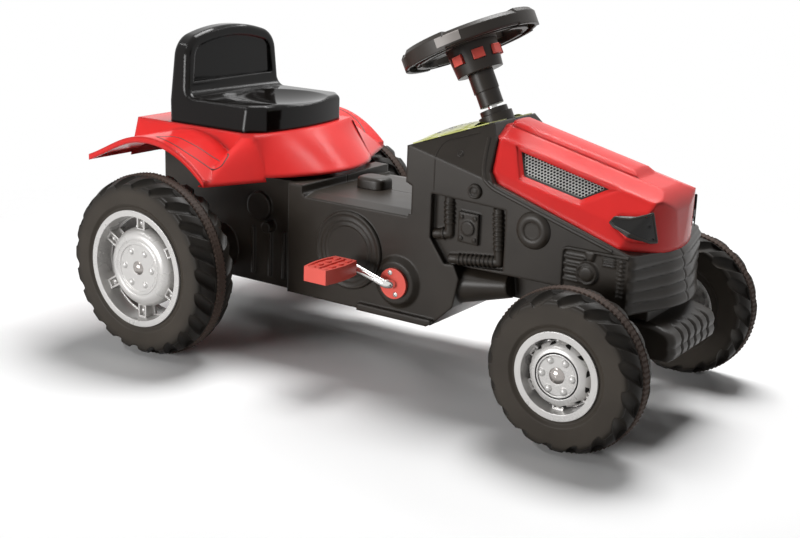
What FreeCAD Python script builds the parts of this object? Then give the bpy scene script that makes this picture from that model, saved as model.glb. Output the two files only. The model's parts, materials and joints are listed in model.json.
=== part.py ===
import FreeCAD, Part
import math
import os

os.makedirs("parts", exist_ok=True)

# Pedal tractor for a small child. Millimetres, +X forward, +Y to the rider's left, +Z up.
# Everything is drawn from a point on the floor midway between the axles, and saved from
# the middle of the floor rectangle that the tractor covers.

# Layout
wheelbase = 590.0
tail_x = -432.0
nose_block_x = 393.0
running_clearance = 0.05
seat_clearance = 0.02
part_gap = 0.3

# Wheels
rear_wheel_radius = 122.0
rear_tyre_width = 68.0
rear_rim_radius = 78.0
rear_track_half = 221.6
rear_lugs = 22
rear_dome_radius = 52.0
rear_bolt_circle = 24.0
front_wheel_radius = 96.5
front_tyre_width = 62.0
front_rim_radius = 51.7
front_track_half = 169.7
front_lugs = 16
front_dome_radius = 36.0
front_bolt_circle = 19.0
band_width = 17.0
band_thickness = 5.0
shoulder_drop = 9.5
lug_groove_radius = 9.0
lug_groove_lift = 1.0
lug_slant = 0.75
lug_round = 4.0
lug_tip_drop = 2.0
tyre_wall = 4.0
rim_wall = 3.0
rim_lip = 3.0
rear_disc_recess = 5.0
front_disc_recess = 3.0
rear_cap_radius = 9.0
front_cap_radius = 9.5
rear_axle_radius = 7.0
stub_axle_radius = 6.0
wheel_bolts = 6
bolt_ball_radius = 5.2
bolt_ball_sink = 2.4
nave_setback = 2.0
cap_depth = 6.0
cap_dome = 3.4
bush_flange = 3.0

# Body shell
body_half_width = 100.0
rear_half_width = 0.88 * body_half_width
chassis_half_width = 0.62 * body_half_width
body_wall = 4.0
body_bottom = 82.0
engine_bottom = 168.0
chassis_bottom = 130.0
nose_bottom = 150.0
bridge_top = 221.0
bridge_front_x = 22.0
bridge_rear_x = -142.0
dash_rear_z = 307.0
dash_slope = 20.0
tower_front_half_width = 48.0
trumpet_root_radius = 33.0
trumpet_tip_radius = 22.0
tower_top_x = 116.0
tower_brow = (128.0, 322.0)
tower_knee = (136.0, 288.0)
nose_ribs = 6
rib_pitch = 10.5
rib_reach = 11.0
rib_step = 2.2
rib_width = 7.0
rib_start_x = 296.0
nose_start_x = 250.0
nose_core_inset = 2.5
circle_x = -63.0
circle_z = 158.0
circle_radius = 51.0
recess_depth = 9.0

# Hood
hood_rear_x = 134.0
hood_crest_z = 333.0
hood_front_x = 348.0
hood_fall = 0.24
hood_half_width = 105.0
hood_wall = 4.0
hood_base_rear = (146.0, 276.0)
hood_base_fall = 0.31
hood_nose_length = 62.0
hood_shoulder = (58.0, -9.0)
hood_waist = (86.0, -43.0)
hood_hem = (125.0, -126.0)
hood_panel_half_width = 24.0
hood_panel_rise = 7.0
grille_hole_radius = 1.45
grille_hole_pitch = 4.3
grille_thickness = 1.6
grille_border = 0.7

# Fenders, plinth and seat
plinth_top = 290.0
plinth_bottom = 238.0
plinth_wall = 3.5
plinth_top_half_width = 110.0
plinth_base_half_width = 126.0
fender_half_width = 203.0
fender_skirt = 8.0
fender_tip_x = -222.0
seat_half_width = 104.0
seat_rear_x = -380.0
seat_front_x = -209.0
seat_pan_z = 326.0
seat_back_top = 420.0
seat_wall = 4.0
seat_back_x = -349.0
seat_edge_radius = 7.0
back_corner_radius = 34.0
back_crown_radius = 260.0
back_shoulder = 96.0
dish_radius = 260.0
dish_depth = 11.0
block_centre_x = -95.0
block_half_length = 22.0
block_half_width = 18.0
block_height = 15.0

# Steering
column_tilt = 26.0
wheel_centre = (44.0, 430.0)
steering_wheel_radius = 89.0
steering_rim_width = 20.0
steering_rim_height = 19.0
hub_radius = 34.0
key_count = 5
key_step = 50.0
key_travel = 3.0
sleeve_radius = 15.5
steering_rod_radius = 6.0
steering_travel = 50.0
crank_arm = 30.0
arm_thickness = 6.0
rod_top = 14.0
link_pin_radius = 4.0
knuckle_arm = 65.0
tie_plate_drop = 18.0
slot_play = 1.8
pad_play = 0.7
rim_land = 5.0
tie_rod_z = 117.0
tie_rod_thickness = 6.0
tie_bar_radius = 3.0
kingpin_y = 108.0
kingpin_radius = 5.0
beam_bottom = 80.0
beam_top = 106.0
bush_flange_radius = 22.0
flange_top = 98.0
housing_bottom = 42.0
key_from = 16.0
key_to = 28.0
key_half_width = 7.5
sleeve_end = 86.0
lug_thickness = 7.0
beam_half_depth = 12.0

dash_bush_radius = 11.0
lower_bush_radius = 11.0

# Pedal drive
crank_x = 15.0
crank_z = 130.0
crank_radius = 63.0
crank_lift = 15.6
crank_rod_radius = 5.5
crank_bend = 8.0
pedal_reach = 30.0
pedal_inner_y = body_half_width + pedal_reach
pedal_length = 65.0
pedal_width = 42.0
pedal_height = 19.0
bearing_plate_radius = 20.0
front_teeth = 18
rear_teeth = 12
nominal_pitch = 12.7
roller_radius = 4.0
chain_plane_y = 30.0
sprocket_thickness = 3.0
tooth_share = 0.21
plate_thickness = 4.0
link_plate = 1.2
link_half_height = 4.6

# Tow hitch
hitch_z = 108.0
hitch_bore_radius = 6.0
hitch_thickness = 10.0

rear_x = -wheelbase / 2
front_x = wheelbase / 2
origin_x = (tail_x + nose_block_x) / 2
tilt = math.radians(column_tilt)
column_down = FreeCAD.Vector(math.sin(tilt), 0, -math.cos(tilt))
column_out = FreeCAD.Vector(math.cos(tilt), 0, math.sin(tilt))
column_top = FreeCAD.Vector(wheel_centre[0], 0, wheel_centre[1])


def vec(x, y, z):
    return FreeCAD.Vector(x, y, z)


Y_AXIS = vec(0, 1, 0)


def side(y):
    return lambda x, z: vec(x, y, z)


def plan(z):
    return lambda x, y: vec(x, y, z)


def front(x):
    return lambda y, z: vec(x, y, z)


def wheel_section(radius, outward):
    return vec(0, -outward, radius)


# A closed wire through flat points. A pair of points stands for an arc: a point on it, and its end.
def outline(points, place):
    edges = []
    here = points[0]
    for item in list(points[1:]) + [points[0]]:
        if isinstance(item[0], tuple):
            middle, end = item
            edges.append(Part.Arc(place(*here), place(*middle), place(*end)).toShape())
            here = end
        elif item != here:
            edges.append(Part.LineSegment(place(*here), place(*item)).toShape())
            here = item
    return Part.Wire(edges)


def prism(points, place, direction):
    return Part.Face(outline(points, place)).extrude(direction)


def side_prism(points, y_from, y_to):
    return prism(points, side(y_from), vec(0, y_to - y_from, 0))


def plan_prism(points, z_from, z_to):
    return prism(points, plan(z_from), vec(0, 0, z_to - z_from))


def inset_prism(points, y_from, y_to, inset):
    wire = outline(points, side(y_from)).makeOffset2D(-inset, 2)
    return Part.Face(wire).extrude(vec(0, y_to - y_from, 0))


def box(x_range, y_range, z_range):
    size = [high - low for low, high in (x_range, y_range, z_range)]
    return Part.makeBox(size[0], size[1], size[2], vec(x_range[0], y_range[0], z_range[0]))


def cylinder(radius, start, end):
    along = end - start
    return Part.makeCylinder(radius, along.Length, start, along)


def y_cylinder(radius, x, z, y_from, y_to):
    return cylinder(radius, vec(x, y_from, z), vec(x, y_to, z))


def y_ring(outer, inner, x, z, y_from, y_to):
    return y_cylinder(outer, x, z, y_from, y_to).cut(y_cylinder(inner, x, z, y_from - 1, y_to + 1))


def wheel_revolve(points):
    face = Part.Face(outline(points, wheel_section))
    return face.revolve(vec(0, 0, 0), Y_AXIS, 360)


def mirrored(shape):
    return shape.mirror(vec(0, 0, 0), Y_AXIS)


def moved(shape, x, y, z):
    copy = shape.copy()
    copy.translate(vec(x, y, z))
    return copy


def turned(shape, angle):
    copy = shape.copy()
    copy.rotate(vec(0, 0, 0), Y_AXIS, angle)
    return copy


def save(name, shape):
    shape = shape.copy()
    shape.translate(vec(-origin_x, 0, 0))
    shape.exportStep("parts/" + name + ".step")


# Points on the steering column: how far down it, and how far out from it, forward and to the left.
def column_point(down, out=0.0, left=0.0):
    return column_top + column_down * down + column_out * out + Y_AXIS * left


def column_cylinder(radius, down_from, down_to, out=0.0, left=0.0):
    return cylinder(radius, column_point(down_from, out, left), column_point(down_to, out, left))


# Section through the steering axis, radius against distance down the column
def column_revolve(points, degrees=360.0):
    face = Part.Face(outline(points, lambda radius, down: column_point(down, radius)))
    return face.revolve(column_point(0), column_down, degrees)


# Tyres, bands, rims and caps, built round the origin with the outer face towards -Y
# A hollow tyre in two like halves. Slanting round grooves cut its shoulder into lugs, half a lug apart.
def tyre(radius, width, rim_radius, lugs):
    half = width / 2
    bead = rim_radius - rim_lip + running_clearance
    crown = radius - band_thickness
    lug_edge = radius - shoulder_drop
    lug_tip = radius - lug_tip_drop
    strip = band_width / 2 + running_clearance
    seat = half - rim_lip
    inner_edge = lug_edge - 2 * lug_groove_radius + lug_groove_lift
    shoulder = wheel_revolve([
        (crown, 0.0), (crown, strip), (lug_tip, strip),
        ((0.5 * (lug_tip + lug_edge) + 1.5, 0.5 * (strip + half)), (lug_edge, half - lug_round)),
        ((lug_edge - 0.3 * lug_round, half - 0.3 * lug_round), (lug_edge - lug_round, half)),
        (bead + 11, half), (bead + 7, seat), (bead, seat), (bead, seat - 9),
        (bead + 5, half - 2 * tyre_wall), (inner_edge, half - tyre_wall - 1),
        (crown - 2 * tyre_wall, strip), (crown - 2 * tyre_wall, 0.0)])
    slant = lug_slant * 2 * math.pi / lugs
    top = radius + 0.5 * lug_groove_radius
    groove = cylinder(lug_groove_radius, vec(0, -half - 4, lug_edge + lug_groove_lift),
                      vec(top * math.sin(slant), -strip, top * math.cos(slant)))
    groove = groove.common(box((-radius, radius), (-2 * half, -strip - 1.5), (0.0, 2 * radius)))
    grooves = [turned(groove, 360.0 * count / lugs) for count in range(lugs)]
    outer_half = shoulder.cut(grooves)
    inner_half = turned(mirrored(outer_half), 180.0 / lugs)
    return outer_half.fuse(inner_half).removeSplitter()


def tread_band(radius):
    half = band_width / 2
    inner = radius - band_thickness + running_clearance
    return wheel_revolve([(inner, -half), (radius - 1, -half), (radius, -half + 2), (radius, half - 2),
                          (radius - 1, half), (inner, half)])


class RimSizes:
    def __init__(self, radius, width, recess, cap_radius, axle_radius, dome, bolt_circle):
        self.face = width / 2
        self.half = width / 2
        self.radius = radius
        self.barrel = radius - rim_lip
        self.ring = radius - 8.0
        self.disc = self.face - recess
        self.channel = self.face - 24.0
        self.dome = dome
        self.bolt_circle = bolt_circle
        self.cap_radius = cap_radius
        self.bore = axle_radius + running_clearance
        self.pocket = self.disc - 14.0
        self.nave = axle_radius + 8.0


rear_rim = RimSizes(rear_rim_radius, rear_tyre_width, rear_disc_recess, rear_cap_radius, rear_axle_radius,
                    rear_dome_radius, rear_bolt_circle)
front_rim = RimSizes(front_rim_radius, front_tyre_width, front_disc_recess, front_cap_radius,
                     stub_axle_radius, front_dome_radius, front_bolt_circle)


def rim(size):
    wall = rim_wall
    inner_end = nave_setback - size.half
    shoulder = 0.22 * size.dome
    plate = size.disc - 1.2
    flat = size.dome - shoulder
    shape = wheel_revolve([
        (size.radius, size.face), (size.ring, size.face), (size.ring - 2, size.channel),
        (size.dome, size.channel),
        ((size.dome - 0.28 * shoulder, size.disc - 0.32 * shoulder), (flat, size.disc)),
        (flat - 2.5, size.disc), (flat - 3.0, size.disc - 0.6), (flat - 4.5, size.disc - 0.6),
        (flat - 5.0, size.disc),
        (size.bolt_circle + 8, size.disc), (size.bolt_circle + 7, plate),
        (size.cap_radius, plate), (size.cap_radius, size.pocket), (size.bore, size.pocket),
        (size.bore, inner_end), (size.nave, inner_end), (size.nave, plate - wall - 8),
        (size.nave + 6, plate - wall),
        (size.dome - shoulder - wall, plate - wall), (size.dome - wall, size.channel - wall),
        (size.barrel - wall, size.channel - wall), (size.barrel - wall, inner_end),
        (size.barrel, inner_end), (size.barrel, size.face - rim_lip), (size.radius, size.face - rim_lip)])
    step = 360.0 / wheel_bolts
    slot_arc = math.radians(0.32 * step)
    slot_inner = size.dome + 1.0
    slot_outer = size.ring - 4.0
    slot_points = [(slot_inner * math.sin(-slot_arc), slot_inner * math.cos(slot_arc)),
                   ((0.0, slot_inner), (slot_inner * math.sin(slot_arc), slot_inner * math.cos(slot_arc))),
                   (slot_outer * math.sin(slot_arc), slot_outer * math.cos(slot_arc)),
                   ((0.0, slot_outer), (slot_outer * math.sin(-slot_arc), slot_outer * math.cos(slot_arc)))]
    slot = prism(slot_points, lambda along, up: vec(along, -size.channel - 1, up), vec(0, wall + 2, 0))
    lug_top = size.channel + 12.0
    bracket = box((-7, 7), (-lug_top, -size.channel + 1), (size.dome - 6, size.ring - 0.5))
    window = box((-4.5, 4.5), (-lug_top - 1, 5.0 - lug_top), (size.dome + 0.5, size.ring - 3.5))
    stud_up = 0.5 * (size.dome + size.ring) - 1.5
    stud = Part.makeSphere(3.4, vec(0, 4.0 - lug_top, stud_up))
    bracket = bracket.cut(window).fuse(stud)
    bolt = Part.makeSphere(bolt_ball_radius, vec(0, bolt_ball_sink - plate, size.bolt_circle))
    bolt = bolt.cut(box((-10, 10), (wall / 2 - plate, wall + 10 - plate), (0, 2 * size.bolt_circle)))
    slots = [turned(slot, step * (count + 0.5)) for count in range(wheel_bolts)]
    brackets = [turned(bracket, step * count) for count in range(wheel_bolts)]
    bolts = [turned(bolt, step * (count + 0.5)) for count in range(wheel_bolts)]
    return shape.cut(slots).fuse(brackets + bolts)


# A push-in plug with a shallow domed face
def hub_cap(size):
    radius = size.cap_radius - running_clearance
    start = size.disc - cap_depth
    shoulder = size.disc - 1.0
    ball = (radius ** 2 + cap_dome ** 2) / (2 * cap_dome)
    half_way = math.sqrt(ball ** 2 - (radius / 2) ** 2)
    crown = shoulder + cap_dome
    return wheel_revolve([(0.0, start), (radius, start), (radius, shoulder),
                          ((radius / 2, crown - ball + half_way), (0.0, crown))])


def push_nut(size, axle_radius):
    start = size.pocket
    return wheel_revolve([(axle_radius + seat_clearance, start), (size.cap_radius - 0.6, start),
                          (size.cap_radius - 0.6, start + 2), (axle_radius + seat_clearance, start + 4)])


def on_wheel(shape, x, y, z):
    return moved(shape, x, -y, z)


wheels = {}
wheels["rear"] = (rear_rim, rear_wheel_radius, rear_tyre_width, rear_rim_radius, rear_lugs, rear_x,
                  rear_track_half)
wheels["front"] = (front_rim, front_wheel_radius, front_tyre_width, front_rim_radius, front_lugs, front_x,
                   front_track_half)
for end, (size, radius, width, rim_radius, lugs, x, track) in wheels.items():
    pieces = {"tyre": tyre(radius, width, rim_radius, lugs),
              "tread_band": tread_band(radius), "rim": rim(size), "hub_cap": hub_cap(size)}
    for piece, shape in pieces.items():
        right = on_wheel(shape, x, track, radius)
        save(piece + "_" + end + "_right", right)
        save(piece + "_" + end + "_left", mirrored(right))
print("wheels done")


# The body shell: stacked side outlines, each with its own half width
def hood_base_z(x):
    return hood_base_rear[1] - hood_base_fall * (x - hood_base_rear[0])


dash_rise = math.tan(math.radians(dash_slope))


def dash_z(x):
    return dash_rear_z + dash_rise * (x - bridge_front_x)


deck_top = plinth_top - plinth_wall
step_top = plinth_bottom - 6.0
rear_outline = [(-400.0, body_bottom + 8), (-400.0, deck_top), (-226.0, deck_top), (-226.0, step_top),
                (bridge_rear_x, step_top), (bridge_rear_x, body_bottom), (-388.0, body_bottom)]
mid_outline = [(-165.0, body_bottom), (-165.0, step_top), (bridge_rear_x, step_top),
               (bridge_rear_x, bridge_top), (70.0, bridge_top), (104.0, 150.0), (97.0, 112.0),
               (66.0, body_bottom)]
tower_outline = [(bridge_front_x + 9, engine_bottom), (bridge_front_x + 9, 257.0), (bridge_front_x, 261.0),
                 (bridge_front_x, dash_rear_z), (tower_top_x, dash_z(tower_top_x)), tower_brow,
                 tower_knee, hood_base_rear, (330.0, hood_base_z(330.0)), (330.0, engine_bottom)]
chassis_outline = [(60.0, body_bottom + 30), (60.0, 214.0), (340.0, 206.0), (340.0, chassis_bottom),
                   (112.0, chassis_bottom), (100.0, body_bottom + 30)]
sections = [(rear_outline, rear_half_width), (mid_outline, body_half_width),
            (tower_outline, body_half_width), (chassis_outline, chassis_half_width)]


# Half of the nose in plan: straight flank, then a quarter of an ellipse to the centre line
def nose_plan(x_start, x_centre, reach, half_width):
    x_mid = x_centre + reach * math.sqrt(0.5)
    y_mid = -half_width * math.sqrt(0.5)
    ellipse = Part.Ellipse(vec(x_centre + reach, 0, 0), vec(x_centre, -half_width, 0),
                           vec(x_centre, 0, 0)) \
        if reach > half_width else \
        Part.Ellipse(vec(x_centre, -half_width, 0), vec(x_centre + reach, 0, 0), vec(x_centre, 0, 0))
    start = ellipse.parameter(vec(x_centre, -half_width, 0))
    middle = ellipse.parameter(vec(x_mid, y_mid, 0))
    finish = ellipse.parameter(vec(x_centre + reach, 0, 0))
    if not (start <= middle <= finish):
        start, finish = finish, start
        if finish <= start:
            finish += 2 * math.pi
    arc = Part.ArcOfEllipse(ellipse, start, finish).toShape()
    lines = [((x_centre + reach, 0), (x_start, 0)), ((x_start, 0), (x_start, -half_width)),
             ((x_start, -half_width), (x_centre, -half_width))]
    edges = [Part.LineSegment(vec(a[0], a[1], 0), vec(b[0], b[1], 0)).toShape() for a, b in lines]
    return Part.Face(Part.Wire(Part.__sortEdges__(edges + [arc])))


nose_centre_x = hood_front_x - hood_nose_length


def nose_slab(shrink, z_from, z_to, reach=hood_nose_length):
    face = nose_plan(nose_start_x, nose_centre_x, reach - shrink, body_half_width - shrink)
    face.translate(vec(0, 0, z_from))
    return face.extrude(vec(0, 0, z_to - z_from))


nose_cut = side_prism([(240.0, hood_base_z(240.0)), (400.0, hood_base_z(400.0)), (400.0, 400.0),
                       (240.0, 400.0)], -200.0, 10.0)


def nose_outer():
    core = nose_slab(nose_core_inset, nose_bottom, 250.0)
    ribs = []
    for count in range(nose_ribs):
        z = nose_bottom + 1.5 + rib_pitch * count
        rib = nose_slab(-0.5, z, z + rib_width, hood_nose_length + rib_reach - rib_step * count)
        ribs.append(rib.common(box((rib_start_x, 420.0), (-200.0, 1.0), (z - 1, z + 8))))
    return core.fuse(ribs).cut(nose_cut)


def nose_inner():
    room = nose_slab(nose_core_inset + body_wall, nose_bottom + body_wall, 250.0)
    return room.cut(moved(nose_cut, 0, 0, -body_wall))


def hose(points, radius):
    runs = [cylinder(radius, vec(*a), vec(*b)) for a, b in zip(points[:-1], points[1:])]
    bends = [Part.makeSphere(radius, vec(*point)) for point in points[1:-1]]
    rings = []
    for a, b in zip(points[:-1], points[1:]):
        along = vec(*b) - vec(*a)
        count = int((along.Length - 2 * radius) / 6.0)
        unit = along * (1.0 / along.Length)
        for index in range(count):
            start = vec(*a) + unit * (radius + 6.0 * index)
            rings.append(cylinder(radius + 1.3, start, start + unit * 3.0))
    return runs[0].fuse(runs[1:] + bends + rings)


hub_face_y = body_half_width + 8.0
recess_outline = [(60.0, 196.0), (60.0, 252.0), (166.0, 247.0), (166.0, 172.0), (82.0, 166.0)]
post_places = [(-330.0, 240.0), (-120.0, 202.0), (92.0, 262.0), (318.0, 190.0)]
bush_radius = rear_axle_radius + 5.0
trumpet_tip_y = rear_track_half - rear_tyre_width / 2 + nave_setback - part_gap - bush_flange
trumpet_length = trumpet_tip_y - rear_half_width


def body_reliefs():
    outer = -body_half_width
    pieces = []
    # Round gear housing behind the pedals: three stepped rings on a low drum
    for share, rise in ((1.0, 3.0), (0.83, 1.2), (0.65, 3.5)):
        pieces.append(y_cylinder(share * circle_radius, circle_x, circle_z, outer + 1, outer - rise))
    # Bulge that carries the pedal bearing
    bulge = Part.makeCone(34.0, 27.0, hub_face_y - body_half_width, vec(crank_x, outer, crank_z),
                          vec(0, -1, 0))
    pieces.append(bulge)
    # Flat lip along the belly
    lip = [(-44.0, body_bottom), (-44.0, body_bottom + 9), (70.0, body_bottom + 9), (70.0, body_bottom + 4),
           (64.0, body_bottom)]
    pieces.append(side_prism(lip, outer + 1, outer - 7))
    # Boss ring and screw bosses on the engine side
    pieces.append(y_ring(17.0, 10.5, 204.0, 229.0, outer + 1, outer - 4))
    for x, z in ((92.0, 304.0), (122.0, 264.0)):
        pieces.append(y_ring(7.0, 3.5, x, z, outer + 1, outer - 2.5))
    # Cap and stub pipe beside the rear wheel
    pieces.append(y_cylinder(20.0, -222.0, 190.0, 1 - rear_half_width, -rear_half_width - 6))
    stub = vec(-202.0, 1 - rear_half_width, 165.0)
    pieces.append(cylinder(7.5, stub, stub + vec(0, -16, 0)))
    # Upright ribs on the rear housing
    for x in (-236.0, -206.0, -182.0):
        pieces.append(side_prism([(x, body_bottom + 12), (x, 160.0), (x + 5, 160.0),
                                  (x + 5, body_bottom + 12)],
                                 1 - rear_half_width, -rear_half_width - 4))
    # Louvre bars and a round cover on the engine side, in front of the boss ring
    for row in range(4):
        z = 178.0 + 9.0 * row
        pieces.append(side_prism([(246.0, z), (246.0, z + 4), (262.0, z + 4), (262.0, z)], outer + 1,
                                 outer - 2))
    pieces.append(y_cylinder(9.0, 274.0, 190.0, outer + 1, outer - 2.5))
    # Silencer slung under the engine
    start = vec(88.0, -chassis_half_width - 8, 136.0)
    silencer = Part.makeCone(26.0, 15.0, 76.0, start, vec(1, 0, 0.14))
    pieces.append(silencer.fuse(Part.makeSphere(26.0, start)).cut(box((0, 300), (-40, 40), (0, 300))))
    return pieces


def recess_fittings():
    floor = -body_half_width + recess_depth
    pieces = [hose([(82.0, floor, 250.0), (84.0, floor, 204.0), (62.0, floor, 200.0)], 6.5),
              hose([(151.0, floor, 246.0), (156.0, floor, 180.0), (86.0, floor, 172.0)], 6.5)]
    plate = [(98.0, 197.0), (98.0, 235.0), (126.0, 234.0), (126.0, 196.0)]
    pieces.append(side_prism(plate, floor + 1, floor - 5))
    pieces.append(y_cylinder(9.0, 112.0, 215.5, floor - 4, floor - 7))
    for x in (102.5, 121.5):
        for z in (202.0, 229.0):
            pieces.append(y_cylinder(2.6, x, z, floor - 4, floor - 6.5))
    return pieces


# What is taken off the tower's upper front corner, down to the line of the hood's own side
def tower_corner(lift):
    low = hood_base_rear[1] + lift
    tops = [(bridge_front_x + 4, -body_half_width, dash_rear_z + lift),
            (tower_top_x, -tower_front_half_width, 345.0 + lift),
            (hood_base_rear[0] + 6, -body_half_width, low)]
    points = [vec(x, y, z) for x, y, z in tops]
    slope = (points[1] - points[0]).cross(points[2] - points[0])
    outward = slope * (1 if slope.y < 0 else -1)
    outward.normalize()
    cutter = Part.makeBox(400.0, 400.0, 200.0, vec(-200.0, -200.0, 0.0))
    cutter.Placement = FreeCAD.Placement(points[0], FreeCAD.Rotation(vec(0, 0, 1), outward))
    reach = box((bridge_front_x - 40, hood_base_rear[0] + 40), (-300.0, 0.0), (low, 500.0))
    return cutter.common(reach)


def body_half():
    shells = [side_prism(points, 0, -width) for points, width in sections]
    trumpet = Part.makeCone(trumpet_root_radius, trumpet_tip_radius, trumpet_length,
                            vec(rear_x, -rear_half_width, rear_wheel_radius), vec(0, -1, 0))
    shape = shells[0].fuse(shells[1:] + [nose_outer(), trumpet] + body_reliefs())
    bevel = prism([(-body_half_width - 20, bridge_top - 7), (-body_half_width + 22, bridge_top + 0.01),
                   (-body_half_width + 22, bridge_top + 30), (-body_half_width - 20, bridge_top + 30)],
                  front(bridge_rear_x + 4), vec(bridge_front_x - bridge_rear_x + 1, 0, 0))
    recess = side_prism(recess_outline, -body_half_width - 10, recess_depth - body_half_width)
    shape = shape.cut([bevel, recess, tower_corner(0.0)])
    shape = shape.fuse(recess_fittings())
    rooms = [inset_prism(points, 1.0, body_wall - width, body_wall) for points, width in sections]
    room = rooms[0].fuse(rooms[1:] + [nose_inner()])
    keep = inset_prism(recess_outline, -body_half_width, recess_depth + body_wall - body_half_width,
                       -body_wall)
    bevel_keep = moved(bevel, 0, 0, -body_wall)
    posts = [y_cylinder(7.0, x, z, 2 - body_half_width, 0.0) for x, z in post_places]
    room = room.cut([keep, bevel_keep])
    shape = shape.cut(room.cut(tower_corner(-body_wall)))
    posts = [post.common(side_prism(sections[0][0], 0, -rear_half_width + 1)) if index == 0 else post
             for index, post in enumerate(posts)]
    shape = shape.fuse(posts)
    bores = [y_cylinder(2.4, x, z, -70.0, 1.0) for x, z in post_places]
    bores.append(y_cylinder(bush_radius + seat_clearance, rear_x, rear_wheel_radius, -trumpet_tip_y - 1,
                            0.0))
    bores.append(y_cylinder(bearing_plate_radius - 8 + seat_clearance, crank_x, crank_z, -hub_face_y - 1,
                            0.0))
    bores.append(column_cylinder(dash_bush_radius + seat_clearance, 60.0, 160.0))
    bores.append(column_cylinder(lower_bush_radius + seat_clearance, 290.0, 380.0))
    return shape.cut(bores)


right_half = body_half()
save("body_half_right", right_half)
save("body_half_left", mirrored(right_half))
print("body done", right_half.isValid(), len(right_half.Solids), round(right_half.Volume))


# The hood: side outline, plan and cross-section taken together, then hollowed
def crest_z(x):
    return hood_crest_z - hood_fall * (x - hood_rear_x)


crest_run = vec(1, 0, -hood_fall)


def hood_side(inset, opened):
    drop = 30.0 if opened else 0.0
    back = 30.0 if opened else 0.0
    rear = part_gap * 2 - back
    tower_top_z = dash_z(tower_top_x)
    lean = (tower_brow[0] - tower_top_x) / (tower_top_z - tower_brow[1])
    top = tower_top_x + lean * (tower_top_z - crest_z(tower_top_x)) + rear
    crest_end = 314.0 - inset
    nose_x = hood_front_x - inset
    return [(hood_base_rear[0] + rear, hood_base_z(hood_base_rear[0] + rear) - drop),
            (tower_knee[0] + rear, tower_knee[1] - drop),
            (tower_brow[0] + rear, tower_brow[1]), (top, crest_z(top) - inset),
            (crest_end, crest_z(crest_end) - inset),
            ((nose_x - 9.5, crest_z(crest_end) - 0.32 * (nose_x - crest_end) - inset),
             (nose_x - 1.0, 262.0 - inset)),
            (nose_x, hood_base_z(nose_x) - drop)]


def hood_form(inset, opened=False):
    body = side_prism(hood_side(inset, opened), -150.0, 150.0)
    half = nose_plan(60.0, nose_centre_x, hood_nose_length - inset, hood_half_width - inset)
    half.translate(vec(0, 0, 150.0))
    half = half.extrude(vec(0, 0, 250.0))
    floor_plan = half.fuse(mirrored(half)).removeSplitter()
    ridge = 26.0
    bend = 5.0
    shoulder_y = hood_shoulder[0] - inset
    shoulder_z = hood_shoulder[1] - inset
    right = [(hood_hem[0] - inset, hood_hem[1] - inset), (hood_waist[0] - inset, hood_waist[1] - inset),
             (shoulder_y + 0.7 * bend, shoulder_z - 0.8 * bend)]
    left = [(-y, z) for y, z in right]
    section = left + [((-shoulder_y, shoulder_z), (-shoulder_y + bend, shoulder_z + 0.25 * bend)),
                      (-ridge, -inset),
                      (ridge, -inset), (shoulder_y - bend, shoulder_z + 0.25 * bend),
                      ((shoulder_y, shoulder_z), right[2])] + right[1::-1]
    start = 60.0
    wire = outline(section, lambda y, z: vec(start, y, crest_z(start) + z))
    crown = Part.Face(wire).extrude(crest_run * 340.0)
    return body.common(floor_plan).common(crown)


def hood_panel():
    start = tower_top_x + 10
    half = hood_panel_half_width
    rise = hood_panel_rise
    section = [(-half - 2, -8.0), (-half, rise - 5), (-half + 5, rise - 1),
               ((0.0, rise), (half - 5, rise - 1)),
               (half, rise - 5), (half + 2, -8.0)]
    strip = prism(section, lambda y, z: vec(start, y, crest_z(start) + z), crest_run * (306.0 - start))
    ramp = side_prism([(288.0, crest_z(288.0) + rise + 1), (312.0, crest_z(312.0) + rise + 1),
                       (312.0, crest_z(312.0) - 8),
                       (306.0, crest_z(306.0) - 6)], -100.0, 100.0)
    return strip.cut(ramp)


# The flat hood side: its inward direction in section, and how thick the hood is there
flank_length = math.hypot(hood_waist[0] - hood_shoulder[0], hood_waist[1] - hood_shoulder[1])
flank_in = (hood_shoulder[1] - hood_waist[1]) / flank_length
flank_down = (hood_waist[0] - hood_shoulder[0]) / flank_length
flank_wall = hood_wall * (flank_in + flank_down)


# A slab along the flat hood side, between two depths below its face
def hood_flank(depth_from, depth_to):
    start = 100.0

    def at(point, depth):
        return (-point[0] + flank_in * depth, point[1] - flank_down * depth)

    section = [at(hood_shoulder, depth_from), at(hood_waist, depth_from), at(hood_waist, depth_to),
               at(hood_shoulder, depth_to)]
    return prism(section, lambda y, z: vec(start, y, crest_z(start) + z), crest_run * 240.0)


grille_outline = [(160.0, 312.0), (175.0, 286.5), (251.0, 269.5), (278.0, 283.5)]
headlight_outline = [(296.0, 250.0), (302.0, 259.0), (331.0, 261.0), (337.0, 230.0), (322.0, 232.0)]


def flank_prism(points, grow):
    return inset_prism(points, -150.0, -20.0, -grow)


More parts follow.
